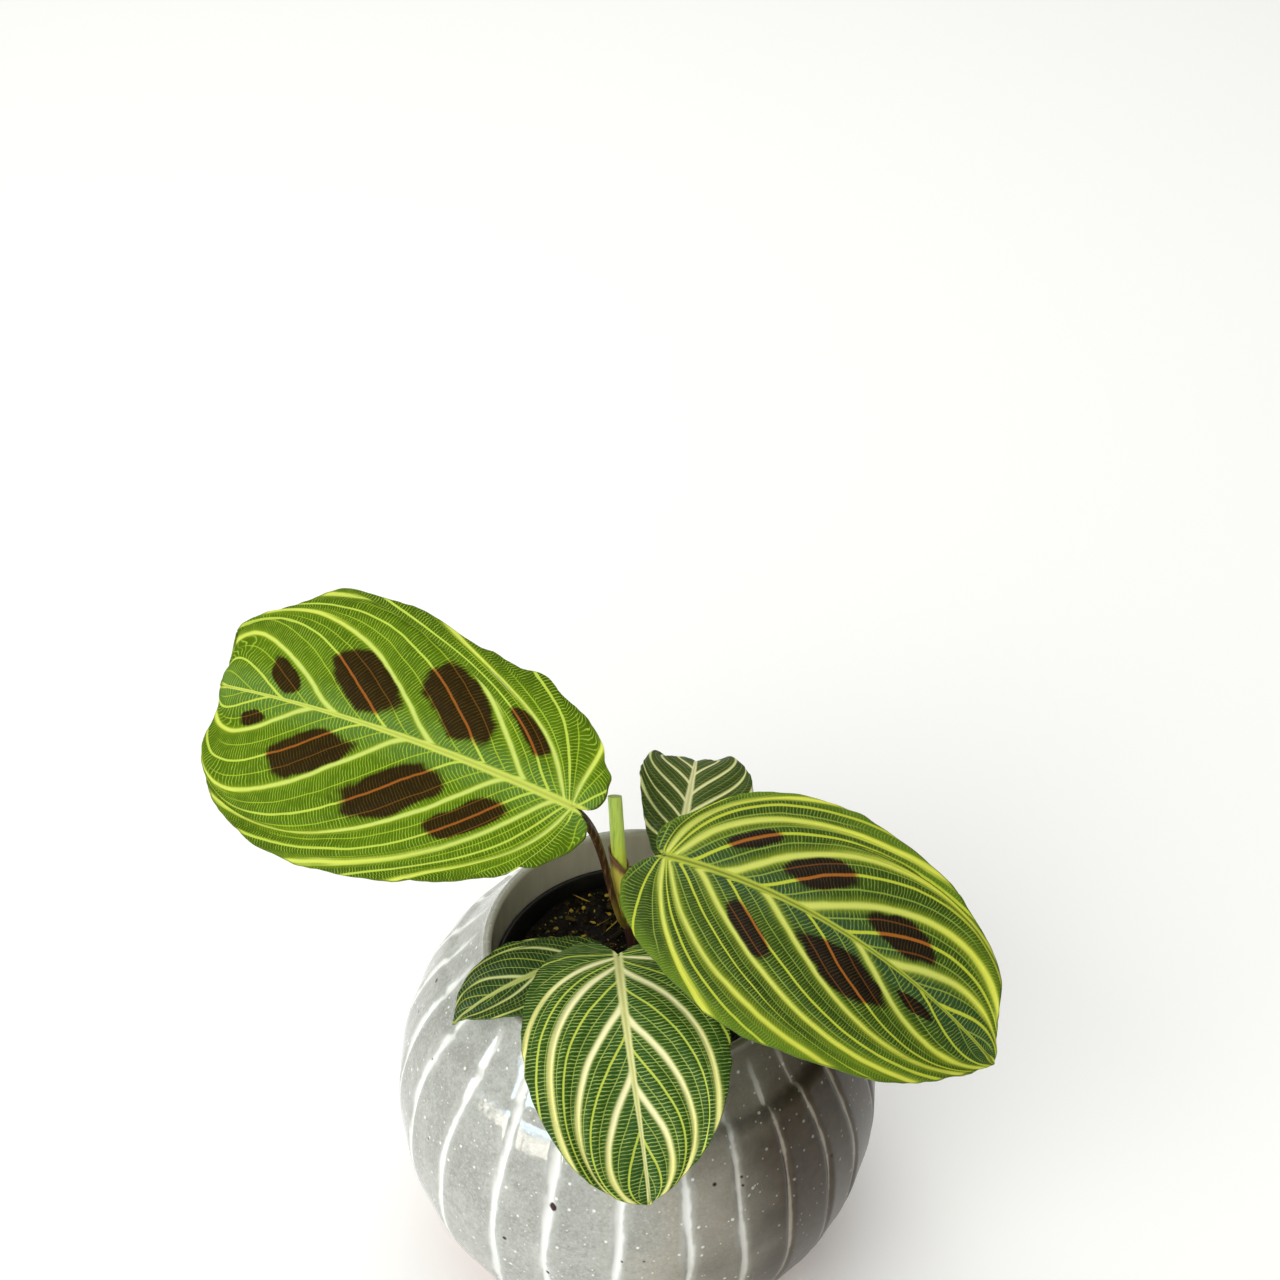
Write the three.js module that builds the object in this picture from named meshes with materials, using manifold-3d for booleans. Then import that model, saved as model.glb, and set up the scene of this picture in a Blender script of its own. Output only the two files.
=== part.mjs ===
// A potted prayer plant (maranta): five patterned leaves on slim stalks, rooted in a black
// nursery pot that stands inside a round glazed pot with hand-carved upright grooves.
// Millimetres, +Z up, the front faces -Y, the origin is the middle of the pot's flat foot.

import * as THREE from 'three';
import ManifoldLibrary from 'manifold-3d';

const library = await ManifoldLibrary();
library.setup();

const DEGREE = Math.PI / 180;
const GAP = 0.3; // clearance between pieces that touch

// ---------------------------------------------------------------- driving dimensions

const POT = {
  radius: 60,
  bellyHeight: 50, // height of the widest ring
  bellyRise: 62, // half height of the body's oval
  creaseHeight: 86.4, // where the body turns into the collar
  lipHeight: 101,
  lipRadius: 38.2,
  mouthRadius: 36,
  wall: 5,
  floor: 6,
  grooveDepth: 0.9,
  grooveHalfWidth: 1.1,
  panelFlat: 0.45, // how far the middle of a panel is flattened
};

// Grooves were cut by eye, so the front ones sit at these measured longitudes in degrees
// (0 = front, positive to the right). The back ones are evenly spread over the rest.
const FRONT_GROOVES = [-107.5, -95.8, -81, -66.8, -50.9, -33.8, -19.5, -3.1, 12.7, 26.5, 39.4, 52.1, 64];
const BACK_GROOVE_COUNT = 12;

const NURSERY = {
  rimRadius: POT.mouthRadius - GAP,
  rimTop: 90,
  rimDepth: 5,
  wall: 1.2,
  topRadius: 34.2,
  baseRadius: 27,
  base: POT.floor + GAP,
};

const SOIL = { top: 84.6, base: 10, bump: 0.7, bitCount: 46, seed: 11 };

// Blades: half thickness, height of the midrib underneath, height of the pleats between side
// veins, one row of the mesh for each rowLength of midrib, columns in each half.
const BLADE = { half: 0.4, rib: 0.7, pleat: 0.45, rowLength: 4.2, fewestRows: 15, columns: 7, rowPower: 2.5 };

// Angle between a side vein and the midrib where it starts, for rows from base (0) to tip (1).
const VEIN_SLOPES = [[0, 115], [0.12, 85], [0.28, 58], [0.6, 46], [1, 34]];

// Each leaf: place and pose of its midrib, then for both halves (left and right of the way
// from base to tip) the edge as [along, across] points and the main side veins as
// [start along the midrib, share of the edge where it ends].
const LEAVES = {
  leaf_left: {
    base: [-17.1, 0, 145], length: 98.5, heading: 156.5, sweep: -6, rise: 8, dip: -15.5,
    roll: -34, fold: 6, curl: [-5, -7], wave: 1.3, waveTurn: 0.4,
    left: {
      edge: [[0, 0], [-4, 1.5], [-6, 4.5], [-4.5, 9], [-1, 14], [5, 19], [13, 24.5], [25, 29.5], [41, 34.5],
        [55, 36], [68, 35], [80, 31], [89, 25.5], [94.5, 18], [95.5, 10], [97, 4], [98.5, 0]],
      veins: [[0.5, 0.39], [5, 0.58], [18, 0.8], [44.5, 0.88], [71.5, 0.95]],
    },
    right: {
      edge: [[0, 0], [-4, 1], [-6, 4], [-4.5, 9.5], [-1, 15], [5, 19], [14, 23], [27, 25], [40, 27],
        [51, 29], [64, 30], [75, 29.5], [84, 25], [93, 19], [99, 13], [99.5, 6], [98.5, 0]],
      veins: [[0.5, 0.15], [2.6, 0.48], [13, 0.73], [37.5, 0.84], [65, 0.94]],
    },
  },
  leaf_right: {
    base: [4.3, -2.5, 132.8], length: 89.5, heading: -16.8, sweep: -15.3, rise: 1, dip: -38,
    roll: 12, fold: 6, curl: [-13, -6], wave: 0.8, waveTurn: 2.1,
    left: {
      edge: [[0, 0], [-3, 2], [-3, 6], [1, 11.5], [8, 19], [15, 24.5], [24, 28.5], [36, 29.5], [50, 27.5],
        [61, 25.5], [71, 21.5], [78, 16], [84, 7], [89.5, 0]],
      veins: [[0.5, 0.4], [2.4, 0.64], [15.5, 0.8], [34.5, 0.91], [58.5, 0.97]],
    },
    right: {
      edge: [[0, 0], [-4, 2], [-7, 7], [-6.5, 13], [-3, 19], [3, 24.5], [12, 30], [23, 34], [34, 35.5],
        [46, 34], [57, 30.5], [68, 25.5], [78, 17.5], [85, 9], [89.5, 0]],
      veins: [[0.4, 0.42], [1.4, 0.66], [8.5, 0.84], [25, 0.93], [49, 0.98]],
    },
  },
  leaf_front: {
    base: [-5.6, -14, 110.7], length: 63.8, heading: -85.6, sweep: 12.6, rise: 22, dip: -66,
    roll: 2, fold: 6, curl: [-7, -7], wave: 0.6, waveTurn: 1.2,
    left: {
      edge: [[0, 0], [-3, 2], [-5, 5], [-4.5, 9], [-1, 14], [6, 18.5], [15, 21.5], [27, 22.5], [37, 21.5],
        [46, 18], [53, 13.5], [58, 8], [61.5, 3], [63.8, 0]],
      veins: [[0.8, 0.35], [6.9, 0.75], [22, 0.9], [39, 0.96]],
    },
    right: {
      edge: [[0, 0], [-4, 1.5], [-6.5, 5], [-5.5, 9.5], [-1, 14], [7, 19], [17, 22.5], [28, 24], [38, 22.5],
        [48, 18.5], [55, 13.5], [60, 8], [62.5, 3], [63.8, 0]],
      veins: [[1.5, 0.54], [5.1, 0.8], [18.6, 0.9], [35.5, 0.96]],
    },
  },
  leaf_small_left: {
    base: [-9.8, -8.3, 105.2], length: 41.2, heading: 217.5, sweep: -27, rise: 24, dip: -51,
    roll: -2, fold: 9, curl: [-4, -4], wave: 0.4, waveTurn: 0,
    left: {
      edge: [[0, 0], [-2, 1.2], [-1.8, 4], [2.5, 7.4], [10, 10.8], [18, 11.2], [24, 9.7], [28.5, 7.6], [33, 4.9],
        [38, 0.9], [41.2, 0]],
      veins: [[0.5, 0.4], [5, 0.75], [18, 0.92]],
    },
    right: {
      edge: [[0, 0], [-2, 1], [-2.5, 3], [0, 4.6], [5, 6], [10, 7.4], [16, 9.4], [22, 10.2], [28, 9.5],
        [33, 7.7], [38, 4.1], [41.2, 0]],
      veins: [[0.5, 0.45], [7, 0.78], [21, 0.92]],
    },
  },
  leaf_back: {
    base: [8.1, 21.5, 111.1], length: 37, heading: 79.6, sweep: 8, rise: 43, dip: -51,
    roll: 0, fold: 10, curl: [-6, -6], wave: 0.8, waveTurn: 0.8,
    left: {
      edge: [[0, 0], [-3, 2], [-2.5, 5.5], [3, 8.5], [10, 11], [18, 12.6], [25, 12.4], [30.5, 10], [34.5, 5],
        [37, 0]],
      veins: [[0.5, 0.35], [4, 0.62], [13, 0.8], [24, 0.92]],
    },
    right: {
      edge: [[0, 0], [-3, 2], [-2.5, 6.5], [3, 11.5], [10, 15], [17, 15.5], [24, 13], [30.5, 9.5], [34.5, 5],
        [37, 0]],
      veins: [[0.5, 0.35], [7, 0.68], [18, 0.88]],
    },
  },
};

// Stalks: hand-placed points from the soil upwards. A stalk with a leaf ends under that
// leaf's base, so the last point comes from the leaf.
const STALKS = {
  main_stem: {
    radius: [2.1, 1.95],
    points: [[-0.9, 10, 74], [-1.3, 9.9, 85], [-2.7, 9.6, 94.3], [-4.1, 9.2, 103.5], [-5, 9.1, 108]],
  },
  cut_stub: {
    radius: [1.75, 1.6], flatTop: true,
    points: [[-5.5, 9, 110.3], [-5.9, 8.9, 113.7], [-6.5, 8.5, 122], [-7.8, 8, 142]],
  },
  petiole_left: {
    leaf: 'leaf_left', radius: [1.1, 1.1],
    points: [[-5.9, 6.1, 102.6], [-7.5, 5.7, 109.8], [-9.3, 6.2, 118.3], [-10.9, 4.5, 127.4], [-13, 2, 136.4]],
  },
  petiole_right: {
    leaf: 'leaf_right', radius: [1.5, 1.2],
    points: [[5.4, 10.8, 74], [5.4, 10.8, 85], [5.2, 8, 103], [4.7, 2.5, 121]],
  },
  petiole_front: {
    leaf: 'leaf_front', radius: [1.3, 1.1],
    points: [[-2.2, -1.5, 74], [-2.2, -1.5, 85], [-2.6, -4.5, 94], [-3.9, -10.3, 103.6]],
  },
  petiole_small_left: {
    leaf: 'leaf_small_left', radius: [1.1, 1],
    points: [[-8, -0.5, 74], [-8, -0.5, 85], [-8.4, -2.5, 92], [-9.4, -6.2, 100]],
  },
  petiole_back: {
    leaf: 'leaf_back', radius: [1.1, 1],
    points: [[6.2, 17.4, 74], [6.2, 17.4, 85], [6.8, 18.6, 95], [7.8, 21, 105.5]],
  },
};

const SHEATH = { foot: [-5.35, 9, 109.6], head: [-6.4, 8.6, 120.3], inner: 2.05, outer: 2.5, slant: -3.2 };
const HOLE_DEPTH = 12;

// ---------------------------------------------------------------- small helpers

function seededRandom(seed) {
  let state = seed;
  return () => {
    state = (state * 1664525 + 1013904223) % 4294967296;
    return state / 4294967296;
  };
}

function mix(a, b, share) {
  return a + (b - a) * share;
}

// Reads a rising table of [key, value] rows, with straight lines between the rows.
function lookUp(table, key) {
  let row = 1;
  while (row < table.length - 1 && key > table[row][0]) row += 1;
  const [k0, v0] = table[row - 1];
  const [k1, v1] = table[row];
  return mix(v0, v1, Math.min(Math.max((key - k0) / (k1 - k0), 0), 1));
}

function makeGeometry(points, triangles) {
  const geometry = new THREE.BufferGeometry();
  geometry.setAttribute('position', new THREE.Float32BufferAttribute(points.flatMap((p) => p.toArray()), 3));
  geometry.setIndex(triangles.flat());
  geometry.computeVertexNormals();
  return geometry;
}

function toSolid(geometry) {
  const { Manifold, Mesh } = library;
  const vertProperties = new Float32Array(geometry.attributes.position.array);
  const triVerts = new Uint32Array(geometry.index.array);
  return new Manifold(new Mesh({ numProp: 3, vertProperties, triVerts }));
}

function toGeometry(solid) {
  const { vertProperties, triVerts } = solid.getMesh();
  const geometry = new THREE.BufferGeometry();
  geometry.setAttribute('position', new THREE.BufferAttribute(new Float32Array(vertProperties), 3));
  geometry.setIndex(new THREE.BufferAttribute(new Uint32Array(triVerts), 1));
  geometry.computeVertexNormals();
  return geometry;
}

// Closed skin over rings of points: a pole at each end where the ring has shrunk to one point.
function skinRings(firstPole, rings, lastPole) {
  const size = rings[0].length;
  const points = [firstPole, ...rings.flat(), lastPole];
  const last = points.length - 1;
  const triangles = [];
  for (let i = 0; i < size; i += 1) {
    const next = (i + 1) % size;
    triangles.push([0, 1 + next, 1 + i]);
    for (let r = 0; r < rings.length - 1; r += 1) {
      const a = 1 + r * size + i;
      const b = 1 + r * size + next;
      triangles.push([a, b, b + size], [a, b + size, a + size]);
    }
    const top = 1 + (rings.length - 1) * size;
    triangles.push([last, top + i, top + next]);
  }
  return makeGeometry(points, triangles);
}

// ---------------------------------------------------------------- carved pot

function grooveLongitudes() {
  const first = FRONT_GROOVES[0] + 360;
  const end = FRONT_GROOVES[FRONT_GROOVES.length - 1];
  const step = (first - end) / (BACK_GROOVE_COUNT + 1);
  const back = Array.from({ length: BACK_GROOVE_COUNT }, (_, i) => end + step * (i + 1));
  return [...FRONT_GROOVES, ...back];
}

// One entry per column of the wall: its longitude, and how far it is cut or flattened in.
function wallColumns() {
  const grooves = grooveLongitudes();
  const halfWidth = POT.grooveHalfWidth / POT.radius / DEGREE;
  return grooves.flatMap((groove, i) => {
    const next = i + 1 < grooves.length ? grooves[i + 1] : grooves[0] + 360;
    return [
      { longitude: groove, cut: POT.grooveDepth },
      { longitude: groove + halfWidth, cut: 0 },
      { longitude: (groove + next) / 2, cut: POT.panelFlat },
      { longitude: next - halfWidth, cut: 0 },
    ];
  });
}

function bodyRadius(height) {
  const t = (height - POT.bellyHeight) / POT.bellyRise;
  return POT.radius * Math.sqrt(1 - t * t);
}

// Profile rings from the middle of the foot, up the outside, over the lip, down to the floor:
// [radius, height, how strongly the grooves are cut].
function potProfile() {
  const rings = [[bodyRadius(0) * 0.5, 0, 0], [bodyRadius(0), 0, 0]];
  for (const height of [3, 10, 20, 31, 42, 53, 63, 72, 80]) {
    rings.push([bodyRadius(height), height, Math.min(1, height / 12)]);
  }
  const crease = bodyRadius(POT.creaseHeight) - 0.8;
  rings.push([crease, POT.creaseHeight, 1]);
  rings.push([mix(crease, POT.lipRadius, 0.42), mix(POT.creaseHeight, POT.lipHeight, 0.4), 0.6]);
  rings.push([mix(crease, POT.lipRadius, 0.82), mix(POT.creaseHeight, POT.lipHeight, 0.78), 0]);
  rings.push([POT.lipRadius, POT.lipHeight - 1.6, 0]);
  rings.push([POT.lipRadius - 0.9, POT.lipHeight - 0.2, 0]);
  rings.push([POT.mouthRadius + 0.6, POT.lipHeight - 0.4, 0]);
  rings.push([POT.mouthRadius, POT.lipHeight - 2, 0]);
  rings.push([POT.mouthRadius, NURSERY.rimTop - NURSERY.rimDepth, 0]);
  for (const height of [72, 52, 30, 14]) {
    rings.push([bodyRadius(height) - POT.wall, height, 0]);
  }
  rings.push([bodyRadius(POT.floor) - POT.wall - 4, POT.floor, 0]);
  return rings;
}

function makePot() {
  const columns = wallColumns();
  const rings = potProfile().map(([radius, height, strength]) => columns.map(({ longitude, cut }) => {
    const r = radius - cut * strength;
    return new THREE.Vector3(r * Math.sin(longitude * DEGREE), -r * Math.cos(longitude * DEGREE), height);
  }));
  const foot = new THREE.Vector3(0, 0, 0);
  const floor = new THREE.Vector3(0, 0, POT.floor);
  return skinRings(foot, rings, floor);
}

// ---------------------------------------------------------------- nursery pot and soil

function nurseryInnerRadius(height) {
  const share = (height - NURSERY.base) / (NURSERY.rimTop - NURSERY.rimDepth - NURSERY.base);
  return mix(NURSERY.baseRadius, NURSERY.topRadius, share) - NURSERY.wall;
}

function makeNurseryPot() {
  const { rimRadius, rimTop, rimDepth, wall, topRadius, baseRadius, base } = NURSERY;
  const shoulder = rimTop - rimDepth;
  const profile = [
    [0, base], [baseRadius, base], [topRadius, shoulder], [rimRadius, shoulder], [rimRadius, rimTop - 0.4],
    [rimRadius - 0.4, rimTop], [rimRadius - wall, rimTop], [nurseryInnerRadius(shoulder), shoulder],
    [nurseryInnerRadius(base + wall), base + wall], [0, base + wall],
  ];
  const geometry = new THREE.LatheGeometry(profile.map(([r, z]) => new THREE.Vector2(r, z)), 44);
  return geometry.rotateX(Math.PI / 2);
}

// One soil crumb or bark chip: a small stretched lump, turned at random.
function makeBit(random) {
  const size = mix(0.8, 2.1, random() ** 2);
  const bit = new THREE.OctahedronGeometry(size, 0);
  bit.scale(mix(0.8, 1.7, random()), mix(0.6, 1.1, random()), mix(0.5, 0.8, random()));
  bit.rotateX(random() * 0.8).rotateZ(random() * 2 * Math.PI);
  const angle = random() * 2 * Math.PI;
  const reach = Math.sqrt(random()) * (nurseryInnerRadius(SOIL.top) - 3.5);
  bit.translate(reach * Math.cos(angle), reach * Math.sin(angle), SOIL.top + 0.15);
  return library.Manifold.hull(Array.from({ length: bit.attributes.position.count }, (_, i) => (
    new THREE.Vector3().fromBufferAttribute(bit.attributes.position, i).toArray())));
}

function makeSoil() {
  const random = seededRandom(SOIL.seed);
  const sides = 36;
  const ring = (radius, height, bump) => Array.from({ length: sides }, (_, i) => {
    const angle = (i / sides) * 2 * Math.PI;
    const lift = bump * (random() - 0.5);
    return new THREE.Vector3(radius * Math.cos(angle), radius * Math.sin(angle), height + lift);
  });
  const edge = nurseryInnerRadius(SOIL.top) - GAP;
  const rings = [ring(nurseryInnerRadius(SOIL.base) - GAP, SOIL.base, 0), ring(edge, SOIL.top - 0.6, 0)];
  for (const share of [0.86, 0.62, 0.36]) rings.push(ring(edge * share, SOIL.top, SOIL.bump));
  const bottom = new THREE.Vector3(0, 0, SOIL.base);
  const top = new THREE.Vector3(0, 0, SOIL.top);
  const bits = Array.from({ length: SOIL.bitCount }, () => makeBit(random));
  const holes = Object.values(STALKS)
    .filter(({ points }) => points[0][2] < SOIL.top)
    .map(({ points: [, [x, y]], radius: [wide] }) => library.Manifold
      .cylinder(HOLE_DEPTH + 8, wide + GAP + 0.1, wide + GAP + 0.1, 14)
      .translate([x, y, SOIL.top - HOLE_DEPTH]));
  const ground = toSolid(skinRings(bottom, rings, top));
  return toGeometry(library.Manifold.union([ground, ...bits]).subtract(library.Manifold.union(holes)));
}

// ---------------------------------------------------------------- leaves

// Frame of a leaf's midrib at a share of its length: along, across (to the left) and up.
function midribFrame(leaf, share) {
  const heading = (leaf.heading + leaf.sweep * share) * DEGREE;
  const pitch = mix(leaf.rise, leaf.dip, share) * DEGREE;
  const along = new THREE.Vector3(
    Math.cos(pitch) * Math.cos(heading), Math.cos(pitch) * Math.sin(heading), Math.sin(pitch));
  const across = new THREE.Vector3(-Math.sin(heading), Math.cos(heading), 0).applyAxisAngle(along, leaf.roll * DEGREE);
  const up = new THREE.Vector3().crossVectors(along, across);
  return { along, across, up };
}

// Midrib point at a distance from the leaf's base, summed over short straight steps.
function midribPoint(leaf, distance) {
  const steps = 60;
  const point = new THREE.Vector3(...leaf.base);
  const inside = Math.max(distance, 0);
  for (let i = 0; i < steps; i += 1) {
    const share = ((i + 0.5) / steps) * (inside / leaf.length);
    point.addScaledVector(midribFrame(leaf, share).along, inside / steps);
  }
  return point.addScaledVector(midribFrame(leaf, 0).along, Math.min(distance, 0));
}

// Lifts a point of the flat leaf onto the folded and curled blade in space.
function liftPoint(leaf, side, x, y, height) {
  const share = Math.min(Math.max(x / leaf.length, 0), 1);
  const { across, up } = midribFrame(leaf, share);
  const fold = leaf.fold * DEGREE;
  const bend = (leaf.curl[side > 0 ? 0 : 1] * DEGREE) / 25;
  const reach = (Math.sin(fold + bend * y) - Math.sin(fold)) / bend;
  const rise = (Math.cos(fold) - Math.cos(fold + bend * y)) / bend;
  return midribPoint(leaf, Math.min(x, leaf.length))
    .addScaledVector(across, side * reach)
    .addScaledVector(up, rise + height);
}

// Half a leaf as side veins: vein(w) is a curve from the midrib to the edge, for w from 0
// (base) to 1 (tip). It leaves the midrib steeply and swings forward along the edge.
function halfLeaf(leaf, half) {
  const edge = new THREE.CatmullRomCurve3(half.edge.map(([x, y]) => new THREE.Vector3(x, y, 0)));
  edge.arcLengthDivisions = 400;
  const place = (start) => (start / leaf.length) ** (1 / BLADE.rowPower);
  const ends = [[0, 0.07], ...half.veins.map(([start, end]) => [place(start), end]), [1, 1]];
  const counts = [[0, 0], ...half.veins.map(([start], i) => [place(start), i + 1]), [1, half.veins.length + 1]];
  const vein = (w) => {
    const from = new THREE.Vector3(leaf.length * w ** BLADE.rowPower, 0, 0);
    const share = lookUp(ends, w);
    const to = edge.getPointAt(share);
    const reach = from.distanceTo(to);
    const slope = lookUp(VEIN_SLOPES, w) * DEGREE;
    const leave = new THREE.Vector3(Math.cos(slope), Math.sin(slope), 0).multiplyScalar(0.36 * reach);
    const arrive = edge.getTangentAt(share).multiplyScalar(0.4 * reach * Math.min(1, share * 2.2));
    return new THREE.CubicBezierCurve3(from, from.clone().add(leave), to.clone().sub(arrive), to);
  };
  return { vein, count: (w) => lookUp(counts, w) };
}

function makeLeaf(leaf) {
  const { columns, half: halfThick } = BLADE;
  const rows = Math.max(BLADE.fewestRows, Math.round(leaf.length / BLADE.rowLength));
  const sides = [[1, halfLeaf(leaf, leaf.left)], [-1, halfLeaf(leaf, leaf.right)]];
  const face = (lift) => {
    const points = [];
    for (let row = 0; row < rows; row += 1) {
      const w = row / rows;
      for (let column = -columns; column <= columns; column += 1) {
        const [side, half] = column <= 0 ? sides[0] : sides[1];
        const t = Math.abs(column) / columns;
        const { x, y } = half.vein(w).getPoint(t);
        const count = half.count(w);
        const pleat = -BLADE.pleat * Math.cos(2 * Math.PI * count) * Math.sin(Math.PI * Math.min(t * 1.1, 1));
        const wave = leaf.wave * t * t * Math.sin(Math.PI * count + leaf.waveTurn) * Math.sin(Math.PI * w);
        const rib = column === 0 && lift < 0 ? BLADE.rib * Math.sin(Math.PI * Math.sqrt(w)) : 0;
        points.push(liftPoint(leaf, side, x, y, pleat + wave + lift - rib));
      }
    }
    points.push(liftPoint(leaf, 1, leaf.length, 0, lift));
    return points;
  };
  const top = face(halfThick);
  const bottom = face(-halfThick);
  const width = 2 * columns + 1;
  const tip = rows * width;
  const faces = [];
  for (let column = 0; column < width - 1; column += 1) {
    for (let row = 0; row < rows - 1; row += 1) {
      const a = row * width + column;
      // Both halves are cut along the diagonal that follows their side veins.
      if (column < columns) faces.push([a, a + 1, a + width], [a + 1, a + width + 1, a + width]);
      else faces.push([a, a + 1, a + width + 1], [a, a + width + 1, a + width]);
    }
    const last = (rows - 1) * width + column;
    faces.push([last, last + 1, tip]);
  }
  const outline = [];
  for (let column = 0; column < width - 1; column += 1) outline.push(column);
  for (let row = 0; row < rows; row += 1) outline.push(row * width + width - 1);
  outline.push(tip);
  for (let row = rows - 1; row > 0; row -= 1) outline.push(row * width);
  const under = top.length;
  const triangles = [...faces];
  triangles.push(...faces.map(([a, b, c]) => [a + under, c + under, b + under]));
  outline.forEach((a, i) => {
    const b = outline[(i + 1) % outline.length];
    triangles.push([a, a + under, b + under], [a, b + under, b]);
  });
  return makeGeometry([...top, ...bottom], triangles);
}

// ---------------------------------------------------------------- stems and stalks

// Where a stalk ends: just under the base of its leaf.
function underLeaf(leaf, radius) {
  const { up } = midribFrame(leaf, 0);
  return new THREE.Vector3(...leaf.base).addScaledVector(up, -(BLADE.half + GAP + radius + 0.15));
}

function makeStalk({ points, radius: [wide, slim], leaf, flatTop }) {
  const route = points.map((p) => new THREE.Vector3(...p));
  if (leaf) route.push(underLeaf(LEAVES[leaf], slim));
  const curve = new THREE.CatmullRomCurve3(route, false, 'centripetal');
  const steps = 10;
  const sides = 8;
  const frames = curve.computeFrenetFrames(steps);
  const ring = (step, radius, shift) => {
    const middle = curve.getPointAt(step / steps).addScaledVector(frames.tangents[step], shift);
    return Array.from({ length: sides }, (_, i) => {
      const angle = (i / sides) * 2 * Math.PI;
      return middle.clone()
        .addScaledVector(frames.normals[step], radius * Math.cos(angle))
        .addScaledVector(frames.binormals[step], radius * Math.sin(angle));
    });
  };
  const rings = [];
  for (let step = 0; step <= steps; step += 1) rings.push(ring(step, mix(wide, slim, step / steps), 0));
  const start = curve.getPointAt(0);
  const end = curve.getPointAt(1);
  if (flatTop) return skinRings(start, rings, end);
  rings.push(ring(steps, slim * 0.72, slim * 0.68));
  end.addScaledVector(frames.tangents[steps], slim);
  return skinRings(start, rings, end);
}

// The leaf sheath: a short sleeve around the stub with a slanting open top.
function makeSheath() {
  const { inner, outer, slant } = SHEATH;
  const foot = new THREE.Vector3(...SHEATH.foot);
  const head = new THREE.Vector3(...SHEATH.head);
  const sides = 14;
  const points = [];
  for (let i = 0; i < sides; i += 1) {
    const angle = (i / sides) * 2 * Math.PI;
    const out = new THREE.Vector3(Math.cos(angle), Math.sin(angle), 0);
    const top = head.clone();
    top.z += slant * Math.cos(angle);
    for (const [base, radius] of [[foot, inner], [foot, outer], [top, outer], [top, inner]]) {
      points.push(base.clone().addScaledVector(out, radius));
    }
  }
  const triangles = [];
  for (let i = 0; i < sides; i += 1) {
    const next = (i + 1) % sides;
    for (let k = 0; k < 4; k += 1) {
      const a = i * 4 + k;
      const b = i * 4 + ((k + 1) % 4);
      const c = next * 4 + ((k + 1) % 4);
      const d = next * 4 + k;
      triangles.push([a, c, b], [a, d, c]);
    }
  }
  return makeGeometry(points, triangles);
}

// ---------------------------------------------------------------- assembly

function addPiece(group, name, geometry, colour, roughness) {
  const material = new THREE.MeshStandardMaterial({ color: colour, roughness, metalness: 0 });
  const mesh = new THREE.Mesh(geometry, material);
  mesh.name = name;
  group.add(mesh);
}

const LEAF_COLOURS = {
  leaf_left: 0x7fa22a, leaf_right: 0x5c7d2f, leaf_front: 0x4a6a2c, leaf_small_left: 0x55742f, leaf_back: 0x4a6230,
};
const STALK_COLOURS = {
  main_stem: 0x4a2c2a, cut_stub: 0x9fb84a, petiole_left: 0x6a3a24, petiole_right: 0x6f6a34,
  petiole_front: 0x6f6a34, petiole_small_left: 0x6f6a34, petiole_back: 0x6f6a34,
};

const plant = new THREE.Group();
addPiece(plant, 'pot', makePot(), 0xb0b5b3, 0.2);
addPiece(plant, 'nursery_pot', makeNurseryPot(), 0x141413, 0.45);
addPiece(plant, 'soil', makeSoil(), 0x2b2018, 0.95);
addPiece(plant, 'stem_sheath', makeSheath(), 0x93983a, 0.5);
for (const [name, stalk] of Object.entries(STALKS)) {
  addPiece(plant, name, makeStalk(stalk), STALK_COLOURS[name], 0.5);
}
for (const [name, leaf] of Object.entries(LEAVES)) {
  addPiece(plant, name, makeLeaf(leaf), LEAF_COLOURS[name], 0.45);
}

export default plant;
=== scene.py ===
"""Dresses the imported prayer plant: patterned leaves, stalks, soil and a round carved pot.

Sizes are in millimetres and turned to metres where a mesh or a pattern is made.
"""

import bisect
import math
import random

import bmesh
import bpy
from mathutils import Matrix, Vector, noise


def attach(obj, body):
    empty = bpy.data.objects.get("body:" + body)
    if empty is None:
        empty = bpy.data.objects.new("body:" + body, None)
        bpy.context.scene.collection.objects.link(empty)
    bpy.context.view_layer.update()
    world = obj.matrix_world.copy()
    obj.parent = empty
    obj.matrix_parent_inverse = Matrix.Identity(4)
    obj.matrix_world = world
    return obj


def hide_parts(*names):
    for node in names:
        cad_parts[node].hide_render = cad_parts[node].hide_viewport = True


bl_info = {
    "name": "Potted prayer plant",
    "version": (1, 0, 0),
    "blender": (4, 2, 0),
    "location": "3D View > Sidebar > Prayer plant",
    "description": "Builds a prayer plant in a round carved pot around its packed frame",
    "category": "Object",
}

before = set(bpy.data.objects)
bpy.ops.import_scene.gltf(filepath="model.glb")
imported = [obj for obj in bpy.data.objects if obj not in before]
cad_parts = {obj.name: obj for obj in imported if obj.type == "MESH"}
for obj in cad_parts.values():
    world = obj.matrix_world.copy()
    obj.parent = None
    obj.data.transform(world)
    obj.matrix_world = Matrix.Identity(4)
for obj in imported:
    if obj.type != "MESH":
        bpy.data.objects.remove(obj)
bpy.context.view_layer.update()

MM = 0.001
TURN = 2 * math.pi

# ---------------------------------------------------------------- driving dimensions, as in the part's source

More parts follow.
